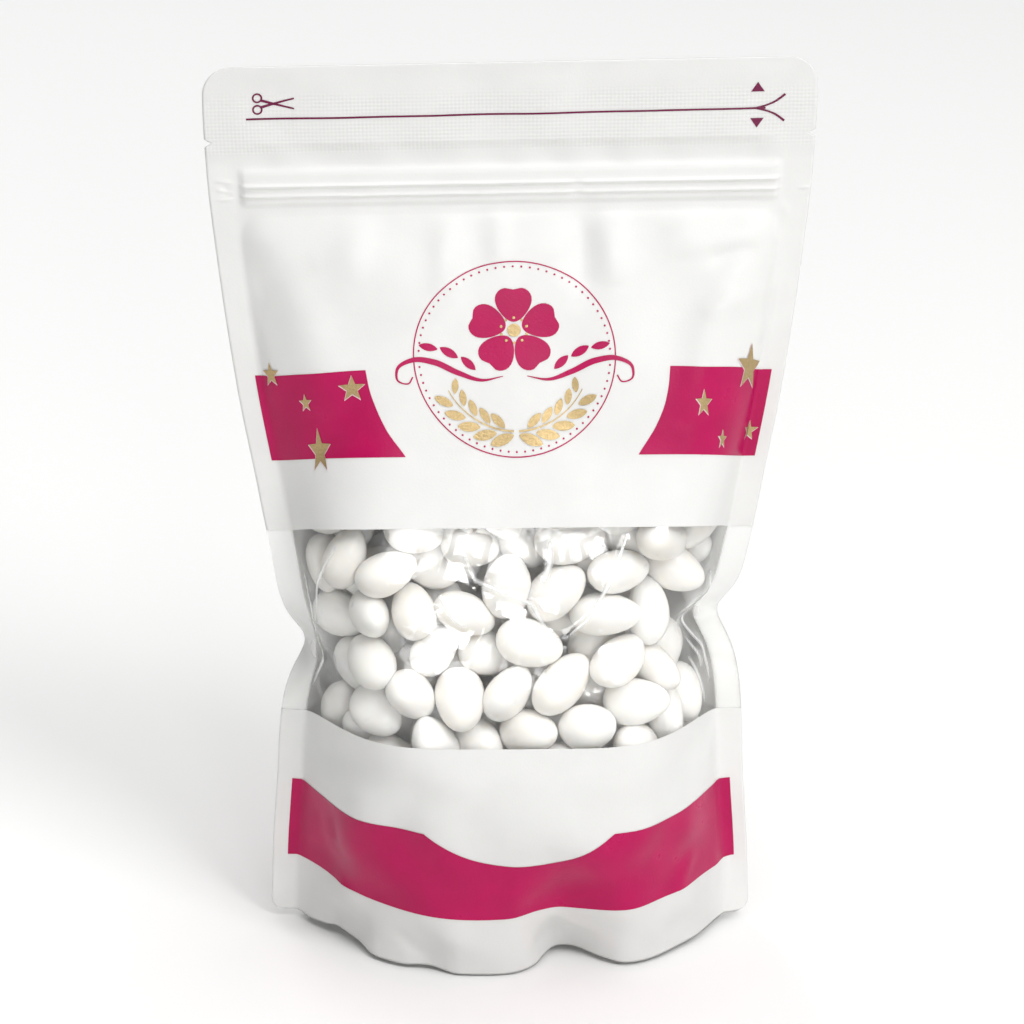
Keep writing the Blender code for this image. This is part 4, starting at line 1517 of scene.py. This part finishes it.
class POUCH_OT_stage(bpy.types.Operator):
    """Set up the floor, the soft studio light and the camera"""
    bl_idname = "pouch.stage"
    bl_label = "Stage"

    # Camera of the photograph: lens in millimetres, elevation in degrees, distance and aim in metres
    LENS = 176.3
    ELEVATION = 25.0
    DISTANCE = 1.6
    AIM_HEIGHT = 0.1465
    SHIFT_X = 0.00215
    AIM_OF_LIGHTS = (0, 0, 0.14)
    FLOOR_COLOUR = (0.84, 0.84, 0.83)
    # Softboxes: name, place and size in metres, and power in watts
    SOFTBOXES = [("key", (1.15, -1.2, 1.95), 0.8, 25), ("front", (0.39, -1.91, 0.50), 0.28, 6),
                 ("low_front", (-0.10, -1.95, 0.50), 0.30, 2.6), ("top", (0.1, 0.0, 2.2), 2.4, 41),
                 ("back", (-0.9, 1.8, 1.3), 1.0, 10)]

    def execute(self, context):
        scene = context.scene
        deselect()
        bpy.ops.mesh.primitive_plane_add(size=8.0, location=(0, 0, -0.0004))
        floor = context.object
        floor.name = "floor"
        floor.data.materials.append(floor_material(self.FLOOR_COLOUR))
        self.sky(scene)
        for softbox in self.SOFTBOXES:
            self.softbox(*softbox)
        tilt = math.radians(self.ELEVATION)
        camera = bpy.data.cameras.new("camera")
        camera.lens = self.LENS
        camera.sensor_width = 36.0
        camera.shift_x = self.SHIFT_X
        camera.clip_end = 50
        holder = bpy.data.objects.new("camera", camera)
        holder.location = (0, -self.DISTANCE * math.cos(tilt),
                           self.AIM_HEIGHT + self.DISTANCE * math.sin(tilt))
        holder.rotation_euler = (math.pi / 2 - tilt, 0, 0)
        scene.collection.objects.link(holder)
        scene.camera = holder
        scene.view_settings.view_transform = "Standard"
        scene.view_settings.look = "None"
        return {"FINISHED"}

    def sky(self, scene):
        """A soft surround, darker on the left."""
        world = bpy.data.worlds.new("studio")
        world.use_nodes = True
        nodes, links = world.node_tree.nodes, world.node_tree.links
        place = nodes.new("ShaderNodeTexCoord").outputs["Generated"]
        apart = nodes.new("ShaderNodeSeparateXYZ")
        links.new(place, apart.inputs[0])
        side = smooth_step(nodes, links, apart.outputs[0], -0.9, 0.5)
        strength = math_node(nodes, links, "MULTIPLY_ADD", side, 0.24, 0.08)
        nodes["Background"].inputs["Color"].default_value = (0.97, 0.985, 1.0, 1)
        links.new(strength, nodes["Background"].inputs["Strength"])
        scene.world = world

    def softbox(self, name, place, size, power):
        light = bpy.data.lights.new(name, "AREA")
        light.shape = "SQUARE"
        light.size = size
        light.energy = power
        holder = bpy.data.objects.new(name, light)
        holder.location = place
        aim = Vector(self.AIM_OF_LIGHTS) - Vector(place)
        holder.rotation_euler = aim.to_track_quat("-Z", "Y").to_euler()
        bpy.context.scene.collection.objects.link(holder)


class POUCH_PT_panel(bpy.types.Panel):
    """The pouch's pieces, each a button"""
    bl_label = "Sugared Almond Pouch"
    bl_idname = "POUCH_PT_panel"
    bl_space_type = "VIEW_3D"
    bl_region_type = "UI"
    bl_category = "Pouch"

    def draw(self, context):
        settings = context.scene.pouch
        for name in PouchSettings.__annotations__:
            self.layout.prop(settings, name)
        for piece in PIECES:
            self.layout.operator(piece.bl_idname)


PIECES = (POUCH_OT_film, POUCH_OT_window, POUCH_OT_bands, POUCH_OT_stars, POUCH_OT_opening_marks,
          POUCH_OT_emblem, POUCH_OT_almonds, POUCH_OT_stage)
CLASSES = (PouchSettings, *PIECES, POUCH_PT_panel)


def register():
    for each in CLASSES:
        bpy.utils.register_class(each)
    bpy.types.Scene.pouch = bpy.props.PointerProperty(type=PouchSettings)


def unregister():
    del bpy.types.Scene.pouch
    for each in reversed(CLASSES):
        bpy.utils.unregister_class(each)


def main():
    register()
    bpy.ops.pouch.film()
    bpy.ops.pouch.window()
    bpy.ops.pouch.bands()
    bpy.ops.pouch.stars()
    bpy.ops.pouch.opening_marks()
    bpy.ops.pouch.emblem()
    bpy.ops.pouch.almonds()
    bpy.ops.pouch.stage()


if __name__ == "__main__":
    main()
